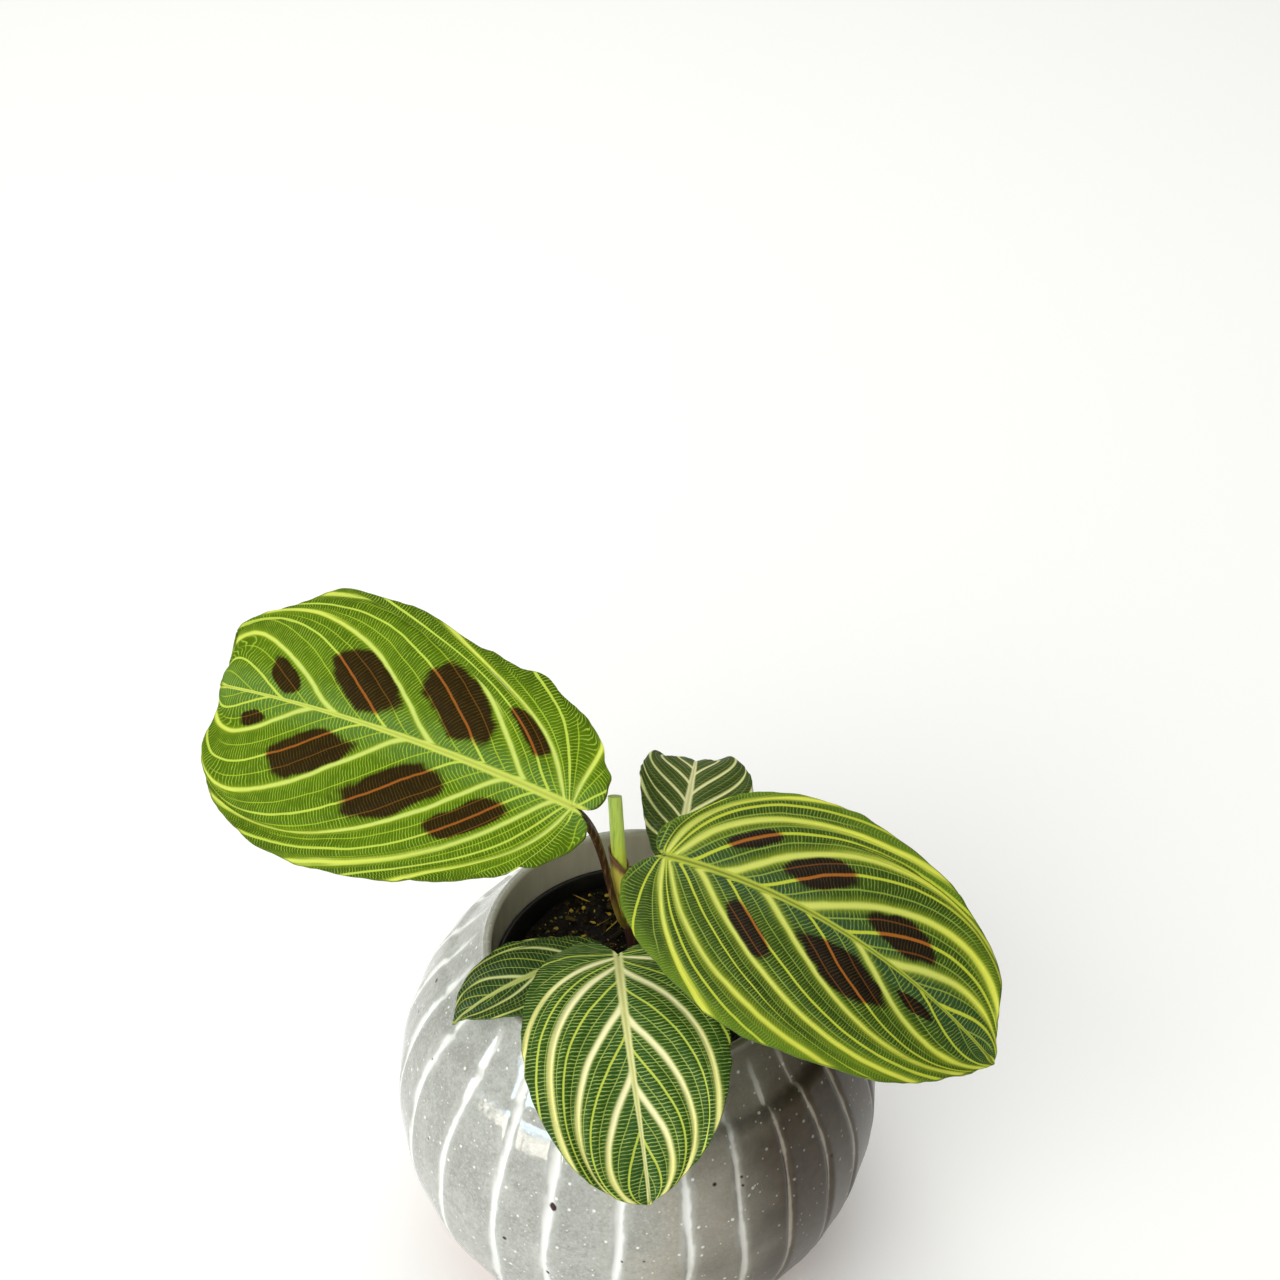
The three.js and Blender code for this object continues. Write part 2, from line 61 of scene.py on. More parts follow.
POT = {
    "radius": 60.0, "belly_height": 50.0, "belly_rise": 62.0, "crease_height": 86.4, "lip_height": 101.0,
    "lip_radius": 38.2, "mouth_radius": 36.0, "wall": 5.0, "floor": 6.0, "groove_depth": 0.9,
    "panel_flat": 0.45,
}
FRONT_GROOVES = [-107.5, -95.8, -81, -66.8, -50.9, -33.8, -19.5, -3.1, 12.7, 26.5, 39.4, 52.1, 64]
BACK_GROOVES = 12
NURSERY = {
    "rim_radius": 35.7, "rim_top": 90.0, "rim_depth": 5.0, "wall": 1.2, "top_radius": 34.2,
    "base_radius": 27.0, "base": 6.3,
}
SOIL = {"top": 84.6, "base": 10.0, "edge_gap": 0.3, "heap": 3.2}
BLADE = {"rib": 0.7, "pleat": 0.25, "small_pleat": 0.09, "ripple": 0.35, "row_power": 2.5}
ROW_CROWDING = 1.4  # rows of a blade lie closer together towards its base, where the lobes are
LARGE_LEAF = 60  # leaves longer than this get a finer mesh and a stouter midrib
UNCARVED = 9.0  # distance to a groove, kept where there is none near
MOSS = 2.0  # tint of a tuft of moss, past the 0 to 1 of the other bits
SHARPEST_CURVE = math.radians(50)  # faces that meet at more than this keep a hard edge
VEIN_SLOPES = [(0, 150), (0.05, 118), (0.12, 85), (0.28, 58), (0.6, 46), (1, 34)]

# Midrib pose and, for both halves, the edge as (along, across) points and the main side veins
# as (start along the midrib, share of the edge where it ends). Left is left of base to tip.
# Bumps are waves of the edge as (distance along it, height, width), and a negative distance
# counts back from the tip. Broad scales the width of the side veins.
LEAVES = {
    "leaf_left": {
        "base": (-17.1, 0, 145), "length": 98.5, "heading": 156.5, "sweep": -6, "rise": 8, "dip": -15.5,
        "roll": -34, "fold": 6, "curl": (-5, -7), "wave": 1.3, "wave_turn": 0.4,
        "left": {
            "edge": [(0, 0), (-4, 1.5), (-6, 4.5), (-4.5, 9), (-1, 14), (5, 19), (13, 24.5), (25, 29.5),
                     (41, 34.5), (55, 36), (68, 35), (80, 31), (89, 25.5), (94.5, 18), (95.5, 10), (97, 4),
                     (98.5, 0)],
            "veins": [(0.5, 0.39), (5, 0.58), (18, 0.8), (44.5, 0.88), (71.5, 0.95)],
            "bumps": [(22, 0.5, 2.0), (26.5, -0.8, 1.6), (31, 0.5, 2.5)], "broad": 0.84,
        },
        "right": {
            "edge": [(0, 0), (-4, 1), (-6, 4), (-4.5, 9.5), (-1, 15), (5, 19), (14, 23), (27, 25), (40, 27),
                     (51, 29), (64, 30), (75, 29.5), (84, 25), (93, 19), (99, 13), (99.5, 6), (98.5, 0)],
            "veins": [(0.5, 0.15), (2.6, 0.48), (13, 0.73), (37.5, 0.84), (65, 0.94)],
            "bumps": [(13.5, 0.6, 1.8), (17.5, -0.5, 1.6), (43, 1.3, 3.4), (49, -0.5, 4.0),
                      (-4.5, -1.4, 2.2)],
            "broad": 0.84,
        },
    },
    "leaf_right": {
        "base": (4.3, -2.5, 132.8), "length": 89.5, "heading": -16.8, "sweep": -15.3, "rise": 1, "dip": -38,
        "roll": 12, "fold": 6, "curl": (-13, -6), "wave": 0.8, "wave_turn": 2.1,
        "left": {
            "edge": [(0, 0), (-3, 2), (-3, 6), (1, 11.5), (8, 19), (15, 24.5), (24, 28.5), (36, 29.5),
                     (50, 27.5), (61, 25.5), (71, 21.5), (78, 16), (84, 7), (89.5, 0)],
            "veins": [(0.5, 0.4), (2.4, 0.64), (15.5, 0.8), (34.5, 0.91), (58.5, 0.97)], "broad": 1.3,
        },
        "right": {
            "edge": [(0, 0), (-4, 2), (-7, 7), (-6.5, 13), (-3, 19), (3, 24.5), (12, 30), (23, 34),
                     (34, 35.5), (46, 34), (57, 30.5), (68, 25.5), (78, 17.5), (85, 9), (89.5, 0)],
            "veins": [(0.4, 0.42), (1.4, 0.66), (8.5, 0.84), (25, 0.93), (49, 0.98)],
        },
    },
    "leaf_front": {
        "base": (-5.6, -14, 110.7), "length": 63.8, "heading": -85.6, "sweep": 12.6, "rise": 22, "dip": -66,
        "roll": 2, "fold": 6, "curl": (-7, -7), "wave": 0.6, "wave_turn": 1.2,
        "left": {
            "edge": [(0, 0), (-3, 2), (-5, 5), (-4.5, 9), (-1, 14), (6, 18.5), (15, 21.5), (27, 22.5),
                     (37, 21.5), (46, 18), (53, 13.5), (58, 8), (61.5, 3), (63.8, 0)],
            "veins": [(0.8, 0.35), (6.9, 0.75), (22, 0.9), (39, 0.96)],
        },
        "right": {
            "edge": [(0, 0), (-4, 1.5), (-6.5, 5), (-5.5, 9.5), (-1, 14), (7, 19), (17, 22.5), (28, 24),
                     (38, 22.5), (48, 18.5), (55, 13.5), (60, 8), (62.5, 3), (63.8, 0)],
            "veins": [(1.5, 0.54), (5.1, 0.8), (18.6, 0.9), (35.5, 0.96)],
        },
    },
    "leaf_small_left": {
        "base": (-9.8, -8.3, 105.2), "length": 41.2, "heading": 217.5, "sweep": -27, "rise": 24, "dip": -51,
        "roll": -2, "fold": 9, "curl": (-4, -4), "wave": 0.4, "wave_turn": 0,
        "left": {
            "edge": [(0, 0), (-2, 1.2), (-1.8, 4), (2.5, 7.4), (10, 10.8), (18, 11.2), (24, 9.7),
                     (28.5, 7.6), (33, 4.9), (38, 0.9), (41.2, 0)],
            "veins": [(0.5, 0.4), (5, 0.75), (18, 0.92)],
        },
        "right": {
            "edge": [(0, 0), (-2, 1), (-2.5, 3), (0, 4.6), (5, 6), (10, 7.4), (16, 9.4), (22, 10.2),
                     (28, 9.5), (33, 7.7), (38, 4.1), (41.2, 0)],
            "veins": [(0.5, 0.45), (7, 0.78), (21, 0.92)],
        },
    },
    "leaf_back": {
        "base": (8.1, 21.5, 111.1), "length": 37, "heading": 79.6, "sweep": 8, "rise": 43, "dip": -51,
        "roll": 0, "fold": 10, "curl": (-6, -6), "wave": 0.8, "wave_turn": 0.8,
        "left": {
            "edge": [(0, 0), (-3, 2), (-2.5, 5.5), (3, 8.5), (10, 11), (18, 12.6), (25, 12.4), (30.5, 10),
                     (34.5, 5), (37, 0)],
            "veins": [(0.5, 0.3), (3, 0.48), (7, 0.62), (12, 0.74), (18, 0.84), (25, 0.93)],
        },
        "right": {
            "edge": [(0, 0), (-3, 2), (-2.5, 6.5), (3, 11.5), (10, 15), (17, 15.5), (24, 13), (30.5, 9.5),
                     (34.5, 5), (37, 0)],
            "veins": [(0.5, 0.32), (3.5, 0.52), (8.5, 0.68), (14.5, 0.8), (22, 0.91)],
        },
    },
}

# Brown marks between the side veins: half of the leaf, first and last vein count, first and
# last share of the way from the midrib to the edge, and how far that way shifts over the mark.
MARKS = {
    "leaf_left": [
        ("right", 5.09, 5.39, 0.13, 0.42, -0.07), ("right", 4.0, 4.74, 0.1, 0.43, -0.08),
        ("right", 3.05, 3.8, 0.09, 0.39, -0.05), ("right", 1.98, 2.62, 0.17, 0.4, -0.04),
        ("left", 5.05, 5.34, 0.3, 0.54, -0.02), ("left", 4.02, 4.66, 0.14, 0.46, -0.02),
        ("left", 3.08, 3.72, 0.1, 0.41, -0.03), ("left", 2.16, 2.8, 0.1, 0.35, -0.02),
    ],
    "leaf_right": [
        ("left", 2.3, 2.72, 0.14, 0.33, -0.02), ("left", 3.08, 3.74, 0.13, 0.35, -0.04),
        ("left", 4.1, 4.86, 0.17, 0.45, -0.04), ("right", 3.02, 3.54, 0.12, 0.34, -0.03),
        ("right", 4.05, 4.93, 0.12, 0.42, -0.01), ("right", 5.14, 5.42, 0.18, 0.35, 0.0),
    ],
}

# Middle line of each stalk from the soil up. Radii are (share of the way up, radius). Radius is
# the solid's, at the foot and under the leaf, and taper is the share of it that the foot keeps.
# The stub's cut falls by slant for each millimetre to the back, fading in over slanted.
STALKS = {
    "main_stem": {
        "points": [(-0.9, 10, 74), (-1.3, 9.9, 85), (-2.7, 9.6, 94.3), (-4.1, 9.2, 103.5), (-5, 9.1, 108),
                   (-5.4, 9.0, 110.6)],
        "radii": [(0, 2.1), (0.3, 2.0), (0.62, 1.95), (0.66, 2.12), (0.7, 1.98), (1, 2.05)],
    },
    "cut_stub": {
        "points": [(-5.4, 9.05, 108.5), (-5.5, 9, 110.3), (-5.9, 8.9, 113.7), (-6.5, 8.5, 122),
                   (-7.72, 8.03, 141.1)],
        "radii": [(0, 1.7), (0.06, 1.78), (0.98, 1.64), (0.995, 1.62), (1, 0.0)],
        "slant": 0.7, "slanted": 2.5,
    },
    "petiole_left": {
        "leaf": "leaf_left", "radius": (1.1, 1.1), "taper": 0.62,
        "points": [(-4.4, 8.6, 96.5), (-5.9, 6.1, 102.6), (-7.5, 5.7, 109.8), (-9.3, 6.2, 118.3),
                   (-10.9, 4.5, 127.4), (-13, 2, 136.4)],
    },
    "petiole_right": {
        "leaf": "leaf_right", "radius": (1.5, 1.2), "taper": 0.97,
        "points": [(5.4, 10.8, 74), (5.4, 10.8, 85), (5.2, 8, 103), (4.7, 2.5, 121)],
    },
    "petiole_front": {
        "leaf": "leaf_front", "radius": (1.3, 1.1), "taper": 0.97,
        "points": [(-2.2, -1.5, 74), (-2.2, -1.5, 85), (-2.6, -4.5, 94), (-3.9, -10.3, 103.6)],
    },
    "petiole_small_left": {
        "leaf": "leaf_small_left", "radius": (1.1, 1.0), "taper": 0.97,
        "points": [(-8, -0.5, 74), (-8, -0.5, 85), (-8.4, -2.5, 92), (-9.4, -6.2, 100)],
    },
    "petiole_back": {
        "leaf": "leaf_back", "radius": (1.1, 1.0), "taper": 0.97,
        "points": [(6.2, 17.4, 74), (6.2, 17.4, 85), (6.8, 18.6, 95), (7.8, 21, 105.5)],
    },
}
SHEATH = {
    "foot": (-5.35, 9, 109.6), "head": (-6.4, 8.6, 120.3), "inner": 2.05, "outer": 2.5, "slant": -3.2,
    "skin": 0.38,
}

# Iron spots that burnt through the glaze: longitude in degrees, height, radius.
IRON_SPOTS = [
    (-19, 69, 1.1), (-30, 53.3, 0.5), (-19, 47.2, 0.55), (-2, 56.8, 0.35), (3, 57, 0.35), (-96, 88.5, 0.5),
    (-90, 84.1, 0.6), (-87, 75.8, 0.45), (-68, 78.6, 0.35), (42, 89.5, 0.45), (20, 76, 0.5), (27, 75.8, 0.4),
    (27, 73.7, 0.4), (54, 66.1, 0.45), (96, 60, 0.5), (131, 74, 0.45), (158, 44, 0.6), (203, 66, 0.45),
    (228, 80, 0.5), (247, 38, 0.5),
]

# Window panes, only seen mirrored in the glaze: height in metres, how tall, share of the window's
# power, colour. The left light gives their light.
WINDOW_PANES = {
    "window_upper_pane": (0.40, 0.36, 0.72, (0.62, 0.82, 1.0)),
    "window_lower_pane": (0.115, 0.18, 0.28, (1.0, 0.95, 0.84)),
}
WINDOW_PLACE = (-0.98, -0.68)
WINDOW_WIDTH = 0.54
DAYLIGHT = (1.0, 0.99, 0.96)

# Camera as in the photo: lens and sensor in millimetres, its place in metres, and the directions
# that point right and up in the picture.
CAMERA = {
    "sensor": 36.0, "lens": 65.745, "nearest": 0.02, "place": (0, -0.376778, 0.516946),
    "right": (0.999262, 0.029257, 0.024872), "up": (-0.037913, 0.648744, 0.760062),
}

# ---------------------------------------------------------------- colour and shader helpers


def linear(code):
    """sRGB hex code as linear red, green, blue and full alpha."""
    parts = [int(code[i:i + 2], 16) / 255 for i in (0, 2, 4)]
    return [p / 12.92 if p <= 0.04045 else ((p + 0.055) / 1.055) ** 2.4 for p in parts] + [1.0]


def add(tree, kind, inputs=None, out=0, **settings):
    """Adds a shader node with its settings, fills or links its inputs and returns one output."""
    node = tree.nodes.new(kind)
    for name, value in settings.items():
        setattr(node, name, value)
    for key, value in (inputs or {}).items():
        if isinstance(value, bpy.types.NodeSocket):
            tree.links.new(value, node.inputs[key])
        else:
            node.inputs[key].default_value = value
    return node.outputs[out] if len(node.outputs) else node


def blank(name):
    """New material with an empty node tree."""
    material = bpy.data.materials.new(name)
    material.use_nodes = True
    material.node_tree.nodes.clear()
    return material, material.node_tree


MATH = "ShaderNodeMath"
NOISE = "ShaderNodeTexNoise"
SKIN = "ShaderNodeBsdfPrincipled"
OUTPUT = "ShaderNodeOutputMaterial"
MIX = {"kind": "ShaderNodeMix", "data_type": "RGBA", "out": 2}
FADE = {"kind": "ShaderNodeMapRange", "interpolation_type": "SMOOTHSTEP"}
COORD = {"kind": "ShaderNodeTexCoord", "out": "Object"}

# ---------------------------------------------------------------- mesh helpers


def mix(a, b, share):
    """Value at a share of the way from a to b."""
    return a + (b - a) * share


def clamp(value, low=0.0, high=1.0):
    """Value held between low and high."""
    return min(max(value, low), high)


def look_up(table, key):
    """Reads a rising table of (key, value) rows, with straight lines between them."""
    row = 1
    while row < len(table) - 1 and key > table[row][0]:
        row += 1
    (k0, v0), (k1, v1) = table[row - 1], table[row]
    return mix(v0, v1, clamp((key - k0) / (k1 - k0)))


def smooth_path(points, steps=24):
    """Centripetal Catmull-Rom curve through the points, as a dense list of points."""
    points = [Vector(p) for p in points]
    padded = [points[0] * 2 - points[1], *points, points[-1] * 2 - points[-2]]
    path = [points[0].copy()]
    for p0, p1, p2, p3 in zip(padded, padded[1:], padded[2:], padded[3:]):
        d0, d1, d2 = ((b - a).length ** 0.5 for a, b in ((p0, p1), (p1, p2), (p2, p3)))
        leave = ((p1 - p0) / d0 - (p2 - p0) / (d0 + d1) + (p2 - p1) / d1) * d1
        arrive = ((p2 - p1) / d1 - (p3 - p1) / (d1 + d2) + (p3 - p2) / d2) * d1
        for i in range(1, steps + 1):
            t = i / steps
            bend = p1 * 2 - p2 * 2 + leave + arrive
            sway = p2 * 3 - p1 * 3 - leave * 2 - arrive
            path.append(((bend * t + sway) * t + leave) * t + p1)
    return path


def spans(path):
    """Distance from the start of the path to each of its points."""
    total = [0.0]
    for a, b in zip(path, path[1:]):
        total.append(total[-1] + (b - a).length)
    return total


def along_path(path, reached, share):
    """Point and direction at a share of the path's length."""
    goal = share * reached[-1]
    i = 1
    while i < len(path) - 1 and reached[i] < goal:
        i += 1
    a, b = path[i - 1], path[i]
    return a.lerp(b, clamp((goal - reached[i - 1]) / (reached[i] - reached[i - 1]))), (b - a).normalized()


def woven(columns, rows, place):
    """Grid of columns by rows faces, each corner put where place(u, v) says, in millimetres."""
    mesh = bmesh.new()
    bmesh.ops.create_grid(mesh, x_segments=columns, y_segments=rows, size=0.5)
    for corner in mesh.verts:
        corner.co = Vector(place(corner.co.x + 0.5, corner.co.y + 0.5)) * MM
    return mesh


def close_up(mesh, distance=0.002):
    """Joins corners that lie on each other, at seams and poles."""
    bmesh.ops.remove_doubles(mesh, verts=mesh.verts, dist=distance * MM)


def cap(mesh):
    """Closes the open ends of a stalk."""
    bmesh.ops.holes_fill(mesh, edges=[edge for edge in mesh.edges if edge.is_boundary], sides=0)


def thicken(piece, thickness):
    """Gives a skin its thickness, half to each side."""
    thick = piece.modifiers.new("thickness", "SOLIDIFY")
    thick.thickness = thickness
    thick.offset = 0.0
    return thick


def spun(profile, steps):
    """Closed body turned about the upright axis from a (radius, height) profile."""
    mesh = bmesh.new()
    chain = [mesh.verts.new((radius * MM, 0, height * MM)) for radius, height in profile]
    edges = [mesh.edges.new(pair) for pair in zip(chain, chain[1:])]
    bmesh.ops.spin(mesh, geom=chain + edges, cent=(0, 0, 0), axis=(0, 0, 1), dvec=(0, 0, 0),
                   angle=TURN, steps=steps, use_merge=True)
    close_up(mesh)
    bmesh.ops.recalc_face_normals(mesh, faces=mesh.faces)
    return mesh


def settle(mesh, name, materials, nodes=()):
    """Turns a bmesh into a shaded piece of the plant that stands for the given CAD nodes."""
    for edge in mesh.edges:
        edge.smooth = edge.calc_face_angle(0.0) < SHARPEST_CURVE
    data = bpy.data.meshes.new(name)
    mesh.to_mesh(data)
    mesh.free()
    data.shade_smooth()
    for material in materials:
        data.materials.append(material)
    piece = bpy.data.objects.new(name, data)
    bpy.context.scene.collection.objects.link(piece)
    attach(piece, "root")
    if nodes:
        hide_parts(*nodes)
    return piece


# ---------------------------------------------------------------- leaf shape


def midrib_frame(leaf, share):
    """Directions along, across (to the left) and up, at a share of the midrib."""
    heading = math.radians(leaf["heading"] + leaf["sweep"] * share)
    pitch = math.radians(mix(leaf["rise"], leaf["dip"], share))
    level = math.cos(pitch)
    along = Vector((level * math.cos(heading), level * math.sin(heading), math.sin(pitch)))
    across = Vector((-math.sin(heading), math.cos(heading), 0))
    across.rotate(Matrix.Rotation(math.radians(leaf["roll"]), 3, along))
    return along, across, along.cross(across)


def midrib_points(leaf, steps=240):
    """Points along the midrib, summed over short straight steps."""
    spots = [Vector(leaf["base"])]
    for i in range(steps):
        spots.append(spots[-1] + midrib_frame(leaf, (i + 0.5) / steps)[0] * leaf["length"] / steps)
    return spots


def lift(leaf, spots, side, x, y, height):
    """Point of the flat leaf, lifted onto the folded and curled blade."""
    share = clamp(x / leaf["length"])
    along, across, up = midrib_frame(leaf, share)
    fold = math.radians(leaf["fold"])
    bend = math.radians(leaf["curl"][0 if side > 0 else 1]) / 25
    reach = (math.sin(fold + bend * y) - math.sin(fold)) / bend
    rise = (math.cos(fold) - math.cos(fold + bend * y)) / bend
    place = share * (len(spots) - 1)
    step = min(int(place), len(spots) - 2)
    spot = spots[step].lerp(spots[step + 1], place - step) + along * min(x, 0)
    return spot + across * side * reach + up * (rise + height)


def half_leaf(leaf, half):
    """Side veins of half a leaf: how vein(w) runs, and how many main veins lie below w."""
    edge = smooth_path([(x, y, 0) for x, y in half["edge"]])
    reached = spans(edge)
    power = BLADE["row_power"]
    starts = [(start / leaf["length"]) ** (1 / power) for start, _ in half["veins"]]
    ends = [(0, 0.0), *zip(starts, (end for _, end in half["veins"])), (1, 1)]
    counts = [(0, 0), *((start, i + 1) for i, start in enumerate(starts)), (1, len(starts) + 1)]

    def vein(w, shares):
        share = look_up(ends, w)
        start = Vector((leaf["length"] * w ** power, 0, 0))
        end, way = along_path(edge, reached, share)
        gone = share * reached[-1]
        out = 0.7 * noise.noise(Vector((gone / 9, reached[-1], 0)))
        out += 0.3 * noise.noise(Vector((gone / 3, 5, 0)))
        for spot, size, wide in half.get("bumps", ()):
            out += size * math.exp(-((gone - spot % reached[-1]) / wide) ** 2)
        end = end + Vector((-way.y, way.x, 0)) * out * clamp(gone / 4) * clamp((1 - share) * 40)
        reach = (end - start).length
        slope = math.radians(look_up(VEIN_SLOPES, w))
        first = start + Vector((math.cos(slope), math.sin(slope), 0)) * 0.36 * reach
        inward = Vector((way.y, -way.x, 0))
        last = end + (inward * 0.28 - way) * 0.4 * reach * min(1, share * 2.2)
        return [start * (1 - t) ** 3 + first * 3 * t * (1 - t) ** 2 + last * 3 * t * t * (1 - t)
                + end * t ** 3 for t in shares]

    return vein, lambda w: look_up(counts, w)


def merging(leaf, flat, counts):
    """Vein count at each point, run ahead near the midrib, so that side veins join it in a soft bend."""
    lines = []
    for row, points in enumerate(flat):
        before, after = max(row - 1, 0), min(row + 1, len(flat) - 1)
        pace = (flat[after][0].x - flat[before][0].x) / (counts[after] - counts[before])
        turn = leaf["merge"] / (pace + 2.5 * leaf["merge"])
        lines.append([counts[row] + turn * math.exp(-point.y / 1.8) for point in points])
    return lines


def vein_gap(first, first_rise, second, second_rise):
    """Distance from one main vein to the next, from two steps on the leaf and the counts they cross."""
    area = first.x * second.y - first.y * second.x
    if abs(area) < 1e-6:
        return 0.35
    x = first_rise * second.y - second_rise * first.y
    y = second_rise * first.x - first_rise * second.x
    return clamp(abs(area) / max(math.hypot(x, y), 1e-6), 0.35, 60.0)


def half_maps(leaf, name, side, rows, columns):
    """Flat points and pattern values for each row and column of half a leaf."""
    vein, count = half_leaf(leaf, leaf[side])
    main = len(leaf[side]["veins"])
    broad = leaf["vein_width"] * leaf[side].get("broad", 1.0)
    shares = [i / columns for i in range(columns + 1)]
    ways = [(row / rows) ** ROW_CROWDING for row in range(rows + 1)]
    flat = [vein(w, shares) for w in ways]
    counts = [count(w) for w in ways]
    lines = merging(leaf, flat, counts)
    runs = [spans(points) for points in flat]
    marks = [mark[1:] for mark in MARKS.get(name, ()) if mark[0] == side]
    table = []
    for row, points in enumerate(flat):
        before, after = max(row - 1, 0), min(row + 1, rows)
        step = counts[after] - counts[before]
        line = []
        for column, point in enumerate(points):
            last, following = max(column - 1, 0), min(column + 1, columns)
            ahead = points[following] - points[last]
            way = ahead.normalized() if ahead.length > 1e-6 else Vector((1, 0, 0))
            move = flat[after][column] - flat[before][column]
            gap = vein_gap(ahead, lines[row][following] - lines[row][last],
                           move, lines[after][column] - lines[before][column])
            drift = runs[after][column] - runs[before][column]
            t = shares[column]
            q = counts[row]
            mark = -1.0
            for q0, q1, t0, t1, slant in marks:
                sideways = (2 * q - q0 - q1) / (q1 - q0)
                outward = (2 * (t - slant * sideways) - t0 - t1) / (t1 - t0)
                mark = max(mark, 1 - (abs(sideways) ** 3.2 + abs(outward) ** 3.2) ** (1 / 3.2))
            width = broad * mix(0.88, 0.78, t) * clamp(gap / 5, 0.55)
            line.append({
                "flat": point, "vein": lines[row][column], "slim": min(width / gap, 0.25),
                "run": point.x if leaf["level_cross_veins"] else runs[row][column],
                "lean": 0.0 if leaf["level_cross_veins"] else (move.dot(way) - drift) / step,
                "reach": t, "across": point.y, "along": point.x / leaf["length"], "mark": mark,
                "bold": clamp((q - 0.55) * 8) * clamp((main + 0.45 - q) * 8),
            })
        table.append(line)
    return table


BLADE_MAPS = ("vein", "slim", "run", "lean", "reach", "across", "along", "mark", "bold")


def blade_mesh(leaf, name, rows, columns):
    """Top skin of a leaf, with the pattern values kept on its corners."""
    spots = midrib_points(leaf)
    halves = {way: half_maps(leaf, name, side, rows, columns) for way, side in ((1, "left"), (-1, "right"))}
    mesh = bmesh.new()
    bmesh.ops.create_grid(mesh, x_segments=2 * columns, y_segments=rows, size=0.5)
    layers = {key: mesh.verts.layers.float.new(key) for key in BLADE_MAPS}
    for corner in mesh.verts:
        column = round((corner.co.x + 0.5) * 2 * columns) - columns
        row = round((corner.co.y + 0.5) * rows)
        side = 1 if column <= 0 else -1
        spot = halves[side][row][abs(column)]
        t, q, w = spot["reach"], spot["vein"], (row / rows) ** ROW_CROWDING
        belly = math.sin(math.pi * min(1.1 * t, 1))
        pleat = -(BLADE["pleat"] * math.cos(TURN * q) + BLADE["small_pleat"] * math.cos(4 * TURN * q)) * belly
        wave = leaf["wave"] * t * t * math.sin(math.pi * q + leaf["wave_turn"]) * math.sin(math.pi * w)
        ripple = BLADE["ripple"] * t ** 3 * noise.noise(spot["flat"] / 5 + Vector((0, 0, side * 9)))
        corner.co = lift(leaf, spots, side, spot["flat"].x, spot["flat"].y, pleat + wave + ripple) * MM
        for key, layer in layers.items():
            corner[layer] = spot[key]
    close_up(mesh, 0.02)
    return mesh


# ---------------------------------------------------------------- leaf looks


